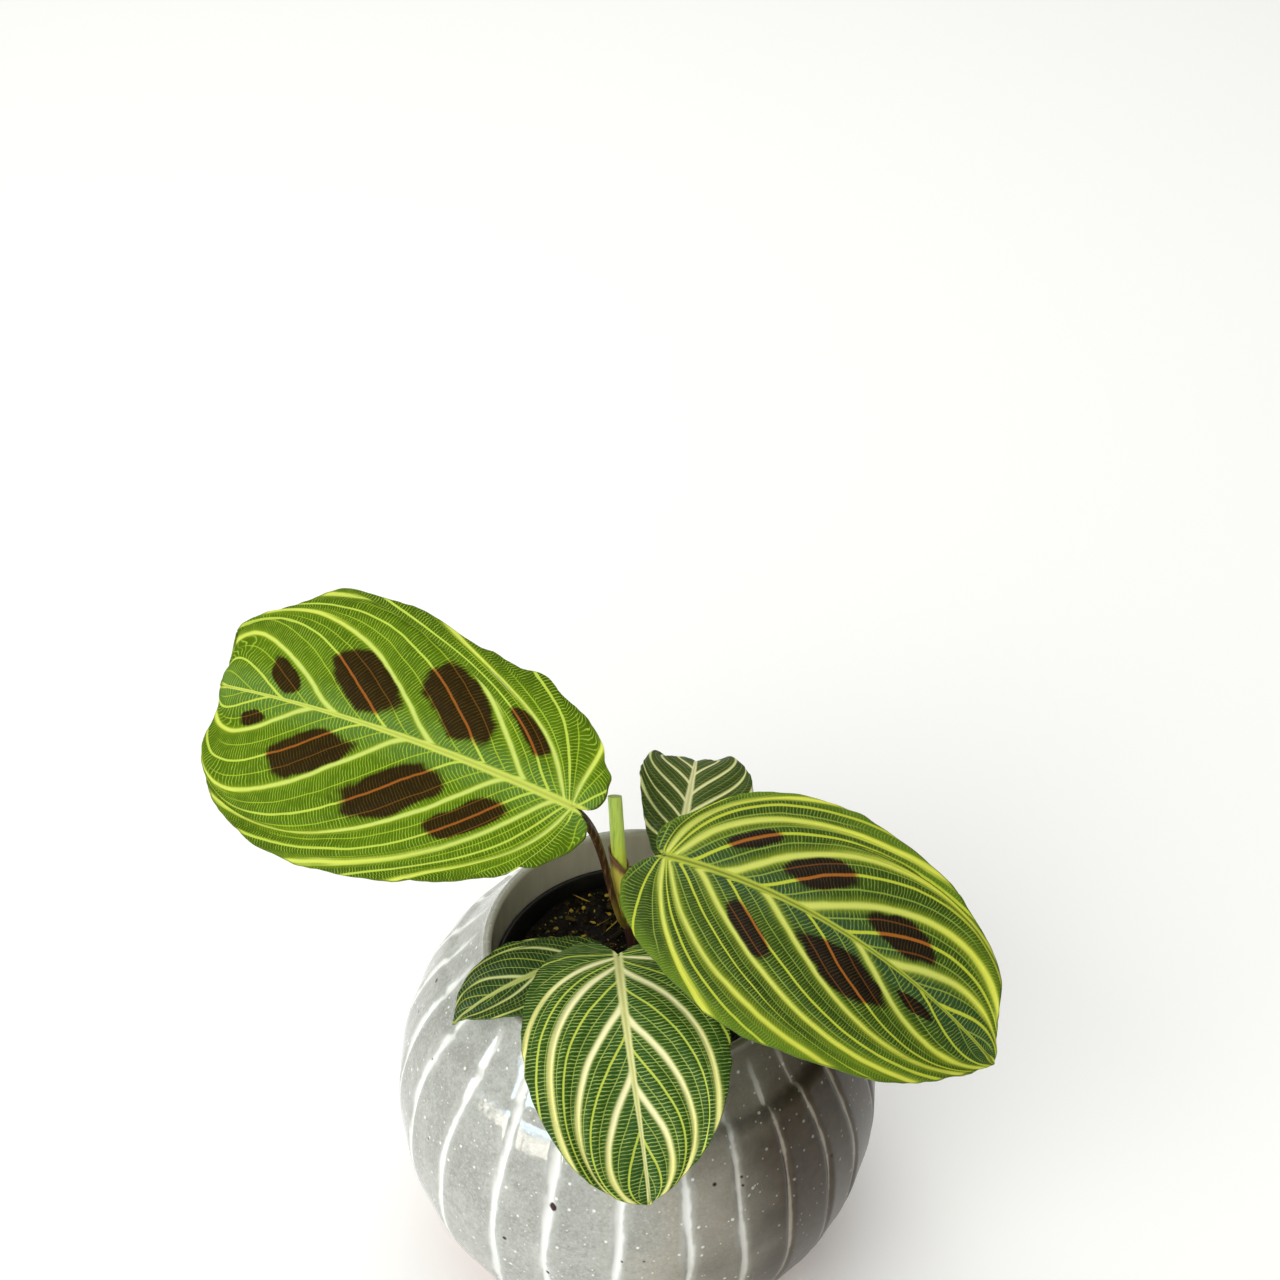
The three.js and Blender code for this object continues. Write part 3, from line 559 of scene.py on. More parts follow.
def blade_material(name, look):
    """Prayer plant leaf: a satin, faintly waxy skin, deep green between pale branching veins,
    with brown marks on two leaves. The fine pale cross veins are drawn about 0.75 mm apart, a little
    coarser than real."""
    material, tree = blank(name)
    vein, slim, run, lean, reach, across, along, mark, bold = (
        add(tree, "ShaderNodeAttribute", out="Fac", attribute_name=key) for key in BLADE_MAPS)
    place = add(tree, **COORD)
    cloud = add(tree, NOISE, {"Vector": place, "Scale": 1 / (11 * MM), "Detail": 3.0})
    grain = add(tree, NOISE, {"Vector": place, "Scale": 1 / (1.6 * MM), "Detail": 2.0})
    crumb = add(tree, NOISE, {"Vector": place, "Scale": 1 / (2.4 * MM), "Detail": 1.0})
    sway = add(tree, MATH, {0: cloud, 1: 0.09, 2: -0.045}, operation="MULTIPLY_ADD")
    line = add(tree, MATH, {0: vein, 1: sway})

    # How far each kind of vein is, in half widths of a main vein.
    near = []
    for times in (1, 2, 4):
        scaled = add(tree, MATH, {0: line, 1: float(times)}, operation="MULTIPLY")
        folded = add(tree, MATH, {0: scaled, 1: 0.5}, operation="PINGPONG")
        width = add(tree, MATH, {0: slim, 1: float(times)}, operation="MULTIPLY")
        near.append(add(tree, MATH, {0: folded, 1: width}, operation="DIVIDE"))
    main, medium, thin = near

    # Cross veins: fine lines from one main vein to the next, set off anew in each such strip.
    strip = add(tree, MATH, {0: line}, operation="FLOOR")
    middle = add(tree, MATH, {0: strip, 1: 0.5}, operation="ADD")
    aside = add(tree, MATH, {0: line, 1: middle}, operation="SUBTRACT")
    shift = add(tree, "ShaderNodeTexWhiteNoise", {"W": strip}, noise_dimensions="1D")
    level = add(tree, MATH, {0: aside, 1: lean, 2: run}, operation="MULTIPLY_ADD")
    turns = add(tree, MATH, {0: level, 1: 1 / look["cross_gap"], 2: shift}, operation="MULTIPLY_ADD")
    jitter = add(tree, MATH, {0: grain, 1: look["cross_stray"], 2: turns}, operation="MULTIPLY_ADD")
    stripe = add(tree, MATH, {0: jitter, 1: 0.5}, operation="PINGPONG")
    cross = add(tree, inputs={0: stripe, 1: 0.2, 2: 0.04}, **FADE)
    broken = add(tree, inputs={0: crumb, 1: 0.4, 2: 0.55, 3: look["cross_break"], 4: 1.0}, **FADE)
    cross = add(tree, MATH, {0: cross, 1: broken}, operation="MULTIPLY")

    main_mask = add(tree, inputs={0: main, 1: 1.65, 2: 0.3}, **FADE)
    main_mask = add(tree, MATH, {0: main_mask, 1: bold}, operation="MULTIPLY")
    halo = add(tree, inputs={0: main, 1: look["halo_reach"], 2: 0.9}, **FADE)
    halo = add(tree, MATH, {0: halo, 1: bold}, operation="MULTIPLY")
    medium_mask = add(tree, inputs={0: medium, 1: look["medium"] * 1.3, 2: look["medium"] * 0.5}, **FADE)
    thin_mask = add(tree, inputs={0: thin, 1: look["thin"] * 1.4, 2: look["thin"] * 0.4}, **FADE)
    fading = add(tree, inputs={0: reach, 1: 0.9, 2: 0.66}, **FADE)
    thin_mask = add(tree, MATH, {0: thin_mask, 1: fading}, operation="MULTIPLY")

    base = add(tree, inputs={0: cloud, 6: linear(look["deep"]), 7: linear(look["green"])}, **MIX)
    pale_zone = add(tree, inputs={0: across, 1: look["pale_reach"], 2: 1.0, 4: look["pale"]}, **FADE)
    base = add(tree, inputs={0: pale_zone, 6: base, 7: linear(look["pale_green"])}, **MIX)
    # Painted shade: most leaves darken towards the edge, less near the tip; leaf_right lightens instead.
    rim_zone = add(tree, inputs={0: reach, 1: 0.6, 2: 1.0, 4: look["rim"]}, **FADE)
    before_tip = add(tree, inputs={0: along, 1: 0.95, 2: 0.68, 3: 0.2, 4: 1.0}, **FADE)
    rim_zone = add(tree, MATH, {0: rim_zone, 1: before_tip}, operation="MULTIPLY")
    base = add(tree, inputs={0: rim_zone, 6: base, 7: linear(look["rim_green"])}, **MIX)
    faint = add(tree, MATH, {0: cross, 1: look["cross"]}, operation="MULTIPLY")
    base = add(tree, inputs={0: faint, 6: base, 7: linear(look["cross_tone"])}, **MIX)
    glow = add(tree, MATH, {0: halo, 1: look["halo"]}, operation="MULTIPLY")
    base = add(tree, inputs={0: glow, 6: base, 7: linear(look["halo_tone"])}, **MIX)
    thinned = add(tree, MATH, {0: thin_mask, 1: 0.85}, operation="MULTIPLY")
    base = add(tree, inputs={0: thinned, 6: base, 7: linear(look["thin_tone"])}, **MIX)
    base = add(tree, inputs={0: medium_mask, 6: base, 7: linear(look["medium_tone"])}, **MIX)
    outward = add(tree, inputs={0: reach, 1: 0.25, 2: 0.8}, **FADE)
    vein_tone = add(tree, inputs={0: outward, 6: linear(look["vein_in"]), 7: linear(look["vein_out"])}, **MIX)
    base = add(tree, inputs={0: main_mask, 6: base, 7: vein_tone}, **MIX)

    if look["marked"]:
        lobes = add(tree, NOISE, {"Vector": place, "Scale": 1 / (5 * MM), "Detail": 1.0})
        ragged = add(tree, MATH, {0: lobes, 1: 0.5, 2: mark}, operation="MULTIPLY_ADD")
        ragged = add(tree, MATH, {0: grain, 1: 0.1, 2: ragged}, operation="MULTIPLY_ADD")
        ragged = add(tree, MATH, {0: cross, 1: -0.03, 2: ragged}, operation="MULTIPLY_ADD")
        stain = add(tree, inputs={0: ragged, 1: 0.2, 2: 0.42}, **FADE)
        spared = add(tree, MATH, {0: 1.0, 1: main_mask}, operation="SUBTRACT")
        stain = add(tree, MATH, {0: stain, 1: spared}, operation="MULTIPLY")
        brown = add(tree, inputs={0: cloud, 6: linear(look["brown"]), 7: linear(look["brown_light"])}, **MIX)
        dull = add(tree, MATH, {0: cross, 1: look["cross"] * 0.9}, operation="MULTIPLY")
        brown = add(tree, inputs={0: dull, 6: brown, 7: linear(look["brown_line"])}, **MIX)
        brown = add(tree, inputs={0: thinned, 6: brown, 7: linear(look["rust"])}, **MIX)
        brown = add(tree, inputs={0: medium_mask, 6: brown, 7: linear(look["orange"])}, **MIX)
        base = add(tree, inputs={0: stain, 6: base, 7: brown}, **MIX)

    band_width = add(tree, inputs={0: along, 1: 0.0, 2: 1.0, 3: look["rib"], 4: look["rib"] * 0.35}, **FADE)
    beside = add(tree, MATH, {0: across, 1: band_width}, operation="DIVIDE")
    band = add(tree, inputs={0: beside, 1: 1.3, 2: 0.6}, **FADE)
    base = add(tree, inputs={0: band, 6: base, 7: linear(look["rib_tone"])}, **MIX)
    centre = add(tree, inputs={0: beside, 1: 0.55, 2: 0.05, 4: look["rib_line_strength"]}, **FADE)
    base = add(tree, inputs={0: centre, 6: base, 7: linear(look["rib_line"])}, **MIX)
    margin = add(tree, inputs={0: reach, 1: 0.985, 2: 0.997, 4: 0.7}, **FADE)
    base = add(tree, inputs={0: margin, 6: base, 7: linear(look["margin"])}, **MIX)

    relief = add(tree, MATH, {0: main_mask, 1: -0.8, 2: stripe}, operation="MULTIPLY_ADD")
    relief = add(tree, MATH, {0: medium_mask, 1: -0.4, 2: relief}, operation="MULTIPLY_ADD")
    bump = add(tree, "ShaderNodeBump", {"Strength": 0.3, "Distance": 0.2 * MM, "Height": relief})
    gloss = add(tree, inputs={0: grain, 1: 0.3, 2: 0.7, 3: look["gloss"], 4: look["gloss"] + 0.1}, **FADE)
    skin = add(tree, SKIN, {"Base Color": base, "Roughness": gloss, "IOR": 1.42,
                           "Specular IOR Level": look["shine"], "Normal": bump})
    add(tree, OUTPUT, {"Surface": skin})
    return material


def underside_material():
    """Underside of the leaves: matt grey-green, with the main veins standing out paler."""
    material, tree = blank("leaf_underside_matt_grey_green")
    vein, slim, bold = (add(tree, "ShaderNodeAttribute", out="Fac", attribute_name=key)
                        for key in ("vein", "slim", "bold"))
    cloud = add(tree, NOISE, {"Vector": add(tree, **COORD), "Scale": 1 / (9 * MM), "Detail": 3.0})
    base = add(tree, inputs={0: cloud, 6: linear("6f8653"), 7: linear("8c9d6c")}, **MIX)
    for times, thick, tone in ((2.0, 0.45, "a2ae7c"), (1.0, 0.9, "b9c08d")):
        scaled = add(tree, MATH, {0: vein, 1: times}, operation="MULTIPLY")
        folded = add(tree, MATH, {0: scaled, 1: 0.5}, operation="PINGPONG")
        width = add(tree, MATH, {0: slim, 1: times}, operation="MULTIPLY")
        near = add(tree, MATH, {0: folded, 1: width}, operation="DIVIDE")
        line = add(tree, inputs={0: near, 1: thick * 1.3, 2: thick * 0.6}, **FADE)
        line = add(tree, MATH, {0: line, 1: bold}, operation="MULTIPLY")
        base = add(tree, inputs={0: line, 6: base, 7: linear(tone)}, **MIX)
    skin = add(tree, SKIN, {"Base Color": base, "Roughness": 0.6, "IOR": 1.42})
    add(tree, OUTPUT, {"Surface": skin})
    return material


# Looks of the leaves, each starting from the one that it names. Tones are sRGB hex codes,
# pale_reach, cross_gap and rib are millimetres, halo_reach, medium and thin are half widths of a
# main vein, and the other numbers are shares.
BRIGHT = {
    "deep": "3d5704", "green": "577507", "pale_green": "587a38", "pale": 0.62, "pale_reach": 8.5,
    "rim_green": "344806", "rim": 0.6, "cross_tone": "9ab83a", "cross": 0.72, "cross_gap": 0.75,
    "cross_stray": 0.85, "cross_break": 0.45, "halo_tone": "749010", "halo": 0.55, "halo_reach": 3.4,
    "thin": 0.3, "thin_tone": "9ab22c", "medium": 0.6, "medium_tone": "b2c648",
    "vein_in": "bccd64", "vein_out": "c8d458", "marked": True, "brown": "1e1400", "brown_light": "2c2003",
    "brown_line": "4e400e", "rust": "644212", "orange": "8c521c", "rib": 1.05, "rib_tone": "bccb58",
    "rib_line": "8a8c3c", "rib_line_strength": 0.4, "margin": "5c701c", "gloss": 0.6, "shine": 0.05,
}
MIDDLE = {
    **BRIGHT, "deep": "243a06", "green": "3a520b", "pale_green": "2c482a", "pale": 0.8, "pale_reach": 9.0,
    "rim_green": "5c7a14", "rim": 0.85, "cross_tone": "8ba040", "cross": 0.62, "cross_gap": 0.76,
    "halo_tone": "84981c", "halo": 0.5, "halo_reach": 3.2, "thin": 0.26, "thin_tone": "869a38",
    "medium": 0.52, "medium_tone": "b2bd38", "vein_in": "c4cc60", "vein_out": "ced44e",
    "brown": "0f0801", "brown_light": "170e02", "brown_line": "4c3e13", "rust": "6a3c10", "orange": "985a1a",
    "rib_tone": "a4b03c", "rib_line": "5c6a24", "rib_line_strength": 0.75, "margin": "566c22",
    "gloss": 0.55, "shine": 0.15,
}
DEEP = {
    **MIDDLE, "deep": "1e3f06", "green": "32560c", "pale_green": "32582a", "pale": 0.45, "pale_reach": 7.0,
    "rim_green": "1d3806", "rim": 0.4, "cross_tone": "a6b862", "cross": 0.78, "cross_gap": 0.82,
    "cross_stray": 0.75, "halo_tone": "647f1e", "halo_reach": 2.4,
    "thin": 0.2, "thin_tone": "9cad4e", "medium": 0.42, "medium_tone": "b8c64c",
    "vein_in": "efecb4", "vein_out": "e8e690", "marked": False, "rib_tone": "d6d892", "rib_line": "a09a54",
    "rib_line_strength": 0.45, "margin": "40601a", "rib": 1.15,
}
SMALL = {
    **DEEP, "deep": "142a04", "green": "223c08", "pale_green": "24401a", "cross_tone": "7c8c40", "cross": 0.6,
    "halo_tone": "40580e", "vein_in": "c0c684", "vein_out": "b4ba60", "medium_tone": "8c9c34",
    "rib_tone": "aab464",
}
BACK = {
    **DEEP, "deep": "2a3a0b", "green": "3c4e12", "pale_green": "465826", "rim_green": "2a3c0a", "cross": 0.2,
    "halo_tone": "4c5c18", "halo_reach": 1.8, "medium": 0.2, "medium_tone": "7c8a3c", "thin": 0.1,
    "vein_in": "dcdc9c", "vein_out": "ccd08a", "rib_tone": "d8d8a0", "cross_tone": "96a85a",
}


def make_leaf(name, material, underside, thickness):
    """One blade with its underside, and the raised midrib below it."""
    leaf = LEAVES[name]
    large = leaf["length"] > LARGE_LEAF
    rows, columns = (240, 44) if large else (160, 30)
    mesh = blade_mesh(leaf, name, rows, columns)
    piece = settle(mesh, f"{name}_blade", [material, underside], [name])
    thick = thicken(piece, thickness)
    thick.material_offset = 1
    thick.material_offset_rim = 0
    spots = midrib_points(leaf)
    reach = leaf["length"] * 0.93
    width = BLADE["rib"] * (1.2 if large else 0.8)
    line = [lift(leaf, spots, 1, reach * i / 60, 0, -0.25 - 0.7 * width) for i in range(61)]
    rib = tube(line, [(0, 0.0), (0.01, 0.9 * width), (0.5, 0.7 * width), (1, 0.0)], 12, 90)
    settle(rib, f"{name}_midrib", [underside])


# ---------------------------------------------------------------- stalks


def tube(path, radii, sides, rings, flute=0.0, flutes=0):
    """Round stalk along a path. radii lists (share of the length, radius); flutes are shallow ridges."""
    reached = spans(path)
    stations = []
    normal = Vector((1, 0, 0))
    for ring in range(rings + 1):
        spot, way = along_path(path, reached, ring / rings)
        normal = (normal - way * normal.dot(way)).normalized()
        stations.append((spot, normal.copy(), way.cross(normal), look_up(radii, ring / rings)))

    def place(u, v):
        spot, first, second, radius = stations[round(v * rings)]
        radius *= 1 + flute * math.sin(TURN * u * flutes)
        return spot + first * radius * math.cos(TURN * u) + second * radius * math.sin(TURN * u)

    mesh = woven(sides, rings, place)
    close_up(mesh)
    return mesh


def stalk_material(name, low, high, streak, from_height, to_height, gloss=0.38):
    """Living stalk: smooth, faintly ribbed skin with fine lengthwise streaks about 0.5 mm apart,
    turning from one colour to another on the way up."""
    material, tree = blank(name)
    place = add(tree, **COORD)
    height = add(tree, "ShaderNodeSeparateXYZ", {0: place}, out="Z")
    stretched = add(tree, "ShaderNodeMapping", {"Vector": place, "Scale": (2000.0, 2000.0, 110.0)})
    streaks = add(tree, NOISE, {"Vector": stretched, "Scale": 1.0, "Detail": 2.0})
    cloud = add(tree, NOISE, {"Vector": place, "Scale": 1 / (4 * MM), "Detail": 2.0})
    uneven = add(tree, MATH, {0: cloud, 1: 5 * MM, 2: height}, operation="MULTIPLY_ADD")
    rising = add(tree, inputs={0: uneven, 1: from_height * MM, 2: to_height * MM}, **FADE)
    base = add(tree, inputs={0: rising, 6: linear(low), 7: linear(high)}, **MIX)
    marks = add(tree, inputs={0: streaks, 1: 0.5, 2: 0.72, 4: 0.65}, **FADE)
    base = add(tree, inputs={0: marks, 6: base, 7: linear(streak)}, **MIX)
    bump = add(tree, "ShaderNodeBump", {"Strength": 0.3, "Distance": 0.15 * MM, "Height": streaks})
    skin = add(tree, SKIN, {"Base Color": base, "Roughness": gloss, "IOR": 1.42, "Normal": bump})
    add(tree, OUTPUT, {"Surface": skin})
    return material


def make_petiole(name, material):
    """Stalk of a leaf: from the soil to the base of its blade, thicker just under it."""
    stalk = STALKS[name]
    wide, slim = stalk["radius"]
    leaf = LEAVES[stalk["leaf"]]
    along, _, up = midrib_frame(leaf, 0)
    base = Vector(leaf["base"])
    points = [*stalk["points"], base - up * (0.85 + slim), base - up * 0.5 + along * 0.9]
    radii = [(0, wide * stalk["taper"]), (0.78, slim * 0.95), (0.88, slim * 1.12), (0.96, slim * 0.9),
             (1, 0.0)]
    mesh = tube(smooth_path(points), radii, 28, 110, 0.035, 7)
    cap(mesh)
    settle(mesh, name + "_stalk", [material], [name])


def make_main_stem(material):
    """Purple-brown stem, turning yellow-green where it enters the sheath."""
    stem = STALKS["main_stem"]
    mesh = tube(smooth_path(stem["points"]), stem["radii"], 36, 110, 0.02, 9)
    cap(mesh)
    settle(mesh, "main_stem_stalk", [material], ["main_stem"])


def make_stub(material, cut):
    """Light green stalk whose leaf was cut off, with a dried, slanting cut."""
    stub = STALKS["cut_stub"]
    mesh = tube(smooth_path(stub["points"]), stub["radii"], 36, 200, 0.022, 11)
    top = Vector(stub["points"][-1]) * MM
    slanted = stub["slanted"] * MM
    for corner in mesh.verts:
        if corner.co.z > top.z - slanted:
            share = (corner.co.z - top.z) / slanted + 1
            corner.co.z -= stub["slant"] * clamp(share) * (corner.co.y - top.y)
    cap(mesh)
    mesh.normal_update()
    for face in mesh.faces:
        face.material_index = int(face.normal.z > 0.6 and face.calc_center_median().z > top.z - 2 * MM)
    settle(mesh, "cut_stub_stalk", [material, cut], ["cut_stub"])


def sheath_material():
    """Leaf sheath: thin dull yellow-green skin, its slanting edge dried purple-brown."""
    material, tree = blank("leaf_sheath_dried_edge")
    place = add(tree, **COORD)
    edge = add(tree, "ShaderNodeAttribute", out="Fac", attribute_name="edge")
    stretched = add(tree, "ShaderNodeMapping", {"Vector": place, "Scale": (1600.0, 1600.0, 120.0)})
    streaks = add(tree, NOISE, {"Vector": stretched, "Scale": 1.0, "Detail": 2.0})
    uneven = add(tree, MATH, {0: streaks, 1: 0.22, 2: edge}, operation="MULTIPLY_ADD")
    dried = add(tree, inputs={0: uneven, 1: 0.72, 2: 1.0}, **FADE)
    base = add(tree, inputs={0: streaks, 6: linear("b3ac3c"), 7: linear("e0cf5e")}, **MIX)
    base = add(tree, inputs={0: dried, 6: base, 7: linear("7a563a")}, **MIX)
    skin = add(tree, SKIN, {"Base Color": base, "Roughness": 0.45, "IOR": 1.42})
    add(tree, OUTPUT, {"Surface": skin})
    return material


def make_sheath(material):
    """Sleeve around the stub, open at its slanting top and drawn in around the stem below."""
    foot, head = Vector(SHEATH["foot"]), Vector(SHEATH["head"])
    middle = (SHEATH["inner"] + SHEATH["outer"]) / 2

    def place(u, v):
        spread = math.cos(TURN * u)
        top = head + Vector((0, 0, SHEATH["slant"] * spread + 0.35 * math.sin(TURN * 3 * u)))
        spot = foot.lerp(top, v)
        radius = look_up([(0, middle - 0.12), (0.15, middle), (0.9, middle), (1, middle + 0.12)], v)
        return spot + Vector((math.cos(TURN * u), math.sin(TURN * u), 0)) * radius

    mesh = bmesh.new()
    bmesh.ops.create_grid(mesh, x_segments=48, y_segments=40, size=0.5)
    edge = mesh.verts.layers.float.new("edge")
    for corner in mesh.verts:
        u, v = corner.co.x + 0.5, corner.co.y + 0.5
        corner[edge] = v
        corner.co = place(u, v) * MM
    close_up(mesh)
    piece = settle(mesh, "stem_sheath_sleeve", [material], ["stem_sheath"])
    thicken(piece, SHEATH["skin"] * MM)


# ---------------------------------------------------------------- soil and nursery pot


def nursery_inner(height):
    """Inner radius of the nursery pot at a height."""
    share = (height - NURSERY["base"]) / (NURSERY["rim_top"] - NURSERY["rim_depth"] - NURSERY["base"])
    return mix(NURSERY["base_radius"], NURSERY["top_radius"], share) - NURSERY["wall"]


def nursery_material():
    """Black moulded polypropylene, faintly dusty with soil in patches of some 5 mm."""
    material, tree = blank("nursery_pot_moulded_polypropylene")
    place = add(tree, **COORD)
    dust = add(tree, NOISE, {"Vector": place, "Scale": 1 / (5 * MM), "Detail": 4.0})
    veil = add(tree, inputs={0: dust, 1: 0.5, 2: 0.75, 4: 0.5}, **FADE)
    base = add(tree, inputs={0: veil, 6: linear("0d0d0c"), 7: linear("2a2519")}, **MIX)
    skin = add(tree, SKIN, {"Base Color": base, "Roughness": 0.42, "IOR": 1.49})
    add(tree, OUTPUT, {"Surface": skin})
    return material


def make_nursery_pot():
    """Thin moulded pot with a rolled rim."""
    rim, top, wall = NURSERY["rim_radius"], NURSERY["rim_top"], NURSERY["wall"]
    shoulder = top - NURSERY["rim_depth"]
    base = NURSERY["base"]
    profile = [(0, base), (NURSERY["base_radius"] - 0.8, base), (NURSERY["base_radius"], base + 0.8),
               (NURSERY["top_radius"], shoulder - 0.3), (rim - 0.3, shoulder), (rim, shoulder + 0.4),
               (rim, top - 0.7), (rim - 0.2, top - 0.2), (rim - 0.6, top), (rim - wall + 0.2, top - 0.15),
               (rim - wall, top - 0.6), (nursery_inner(shoulder) + 0.1, shoulder),
               (nursery_inner(base + wall), base + wall), (0, base + wall)]
    settle(spun(profile, 180), "nursery_pot_shell", [nursery_material()], ["nursery_pot"])


def soil_material(name, dark, light, chip):
    """Damp peaty potting soil: matt, nearly black, with lighter dry crumbs about 1 mm across, and
    olive moss where the tint says so."""
    material, tree = blank(name)
    place = add(tree, **COORD)
    crumbs = add(tree, NOISE, {"Vector": place, "Scale": 1 / (1.3 * MM), "Detail": 5.0, "Roughness": 0.65})
    patches = add(tree, NOISE, {"Vector": place, "Scale": 1 / (6 * MM), "Detail": 2.0})
    tint = add(tree, "ShaderNodeAttribute", out="Fac", attribute_name="tint")
    dry = add(tree, inputs={0: crumbs, 1: 0.52, 2: 0.75}, **FADE)
    base = add(tree, inputs={0: dry, 6: linear(dark), 7: linear(light)}, **MIX)
    rare = add(tree, inputs={0: tint, 1: 0.6, 2: 0.95}, **FADE)
    base = add(tree, inputs={0: rare, 6: base, 7: linear(chip)}, **MIX)
    damp = add(tree, inputs={0: patches, 1: 0.35, 2: 0.65, 3: 0.55, 4: 0.95}, **FADE)
    bump = add(tree, "ShaderNodeBump", {"Strength": 0.8, "Distance": 0.6 * MM, "Height": crumbs})
    mossy = add(tree, inputs={0: tint, 1: 0.7 * MOSS, 2: 0.8 * MOSS}, **FADE)
    base = add(tree, inputs={0: mossy, 6: base, 7: linear("4c4e22")}, **MIX)
    skin = add(tree, SKIN, {"Base Color": base, "Roughness": damp, "IOR": 1.33, "Specular IOR Level": 0.2,
                            "Normal": bump})
    add(tree, OUTPUT, {"Surface": skin})
    return material


def make_soil(bits, seed):
    """Lumpy bed of soil, heaped towards the back, with bark chips, yellow-brown mineral flakes,
    fibres and a little moss lying on it."""
    edge = nursery_inner(SOIL["top"]) - SOIL["edge_gap"]
    low = nursery_inner(SOIL["base"]) - SOIL["edge_gap"]
    profile = [(0, SOIL["base"]), (low, SOIL["base"]), (edge, SOIL["top"] - 0.8)]
    profile += [(edge * (1 - i / 64), SOIL["top"]) for i in range(1, 65)]
    mesh = spun(profile, 200)
    mesh.verts.layers.float.new("tint")

    def ground(x, y):
        far = clamp((edge - math.hypot(x, y)) / 3)
        lumps = noise.fractal(Vector((x, y, 3)) / 5.5, 0.7, 2.1, 4)
        crumbs = noise.noise(Vector((x, y, 9)) / 1.3)
        heaped = SOIL["heap"] * clamp((y + 4) / 28)
        return SOIL["top"] - 0.8 + heaped + far * (0.55 + 0.75 * lumps + 0.28 * crumbs)

    for corner in mesh.verts:
        x, y, z = corner.co / MM
        if z > SOIL["top"] - 0.1:
            corner.co.z = ground(x, y) * MM
    settle(mesh, "soil_bed", [soil_material("potting_soil_damp_peat", "080603", "33270f", "33270f")],
           ["soil"])

    draw = random.Random(seed)
    heap = bmesh.new()
    tint = heap.verts.layers.float.new("tint")
    crumb, chip, fibre = (1.0, 0.75, 0.5), (2.4, 0.8, 0.35), (4.5, 0.22, 0.22)
    for _ in range(bits):
        reach = math.sqrt(draw.random()) * (edge - 2.2)
        angle = draw.random() * TURN
        kind = draw.random()
        size = mix(0.25, 1.1, draw.random() ** 3.5)
        shape = crumb if kind < 0.75 else (chip if kind < 0.9 else fibre)
        x, y = reach * math.cos(angle), reach * math.sin(angle)
        made = bmesh.ops.create_icosphere(heap, subdivisions=1, radius=size * MM)["verts"]
        tone = MOSS if y > 6 and size < 0.6 and kind < 0.4 else draw.random()
        for corner in made:
            corner.co *= 1 + 0.35 * (draw.random() - 0.5)
            corner[tint] = tone
        turn = Matrix.Rotation(draw.random() * TURN, 4, "Z")
        tilt = Matrix.Rotation(0.5 * (draw.random() - 0.5), 4, "Y")
        stretch = Matrix.Diagonal((*shape, 1.0))
        spot = Matrix.Translation(Vector((x, y, ground(x, y) + 0.25 * size)) * MM)
        bmesh.ops.transform(heap, matrix=spot @ turn @ tilt @ stretch, verts=made)
    bit_look = soil_material("bark_and_mineral_bits", "191207", "54401a", "9c8230")
    piece = settle(heap, "soil_bits", [bit_look])
    piece.data.shade_flat()


# ---------------------------------------------------------------- carved glazed pot


def body_radius(height):
    """Outer radius of the pot's round body at a height."""
    t = (height - POT["belly_height"]) / POT["belly_rise"]
    return POT["radius"] * math.sqrt(1 - t * t)


def groove_longitudes():
    """Longitudes of all the grooves in degrees: those of the photo, then even ones at the back."""
    first, last = FRONT_GROOVES[0] + 360, FRONT_GROOVES[-1]
    step = (first - last) / (BACK_GROOVES + 1)
    return [*FRONT_GROOVES, *(last + step * (i + 1) for i in range(BACK_GROOVES))]


def carving(longitude, height, radius, grooves):
    """Distance to the nearest groove, its cut and the flattening of the panel, in millimetres."""
    turned = (longitude - grooves[0]) % 360 + grooves[0]
    after = bisect.bisect(grooves, turned)
    spots = []
    for i in (after - 1, after):
        sway = 0.5 * math.sin(height / 15 + 2.1 * (i % len(grooves)))
        sway += 0.25 * math.sin(height / 5.5 + 1.3 * (i % len(grooves)))
        groove = grooves[i] if i < len(grooves) else grooves[0] + 360
        spots.append((abs(math.radians(turned - groove) * radius - sway), i))
    near, far = sorted(spots)
    uneven = 0.85 + 0.3 * math.sin(height / 7 + 1.7 * (near[1] % len(grooves)))
    cut = POT["groove_depth"] * uneven * math.exp(-(near[0] / 0.95) ** 2)
    return near[0], cut + POT["panel_flat"] * math.sin(math.pi * near[0] / (near[0] + far[0]))


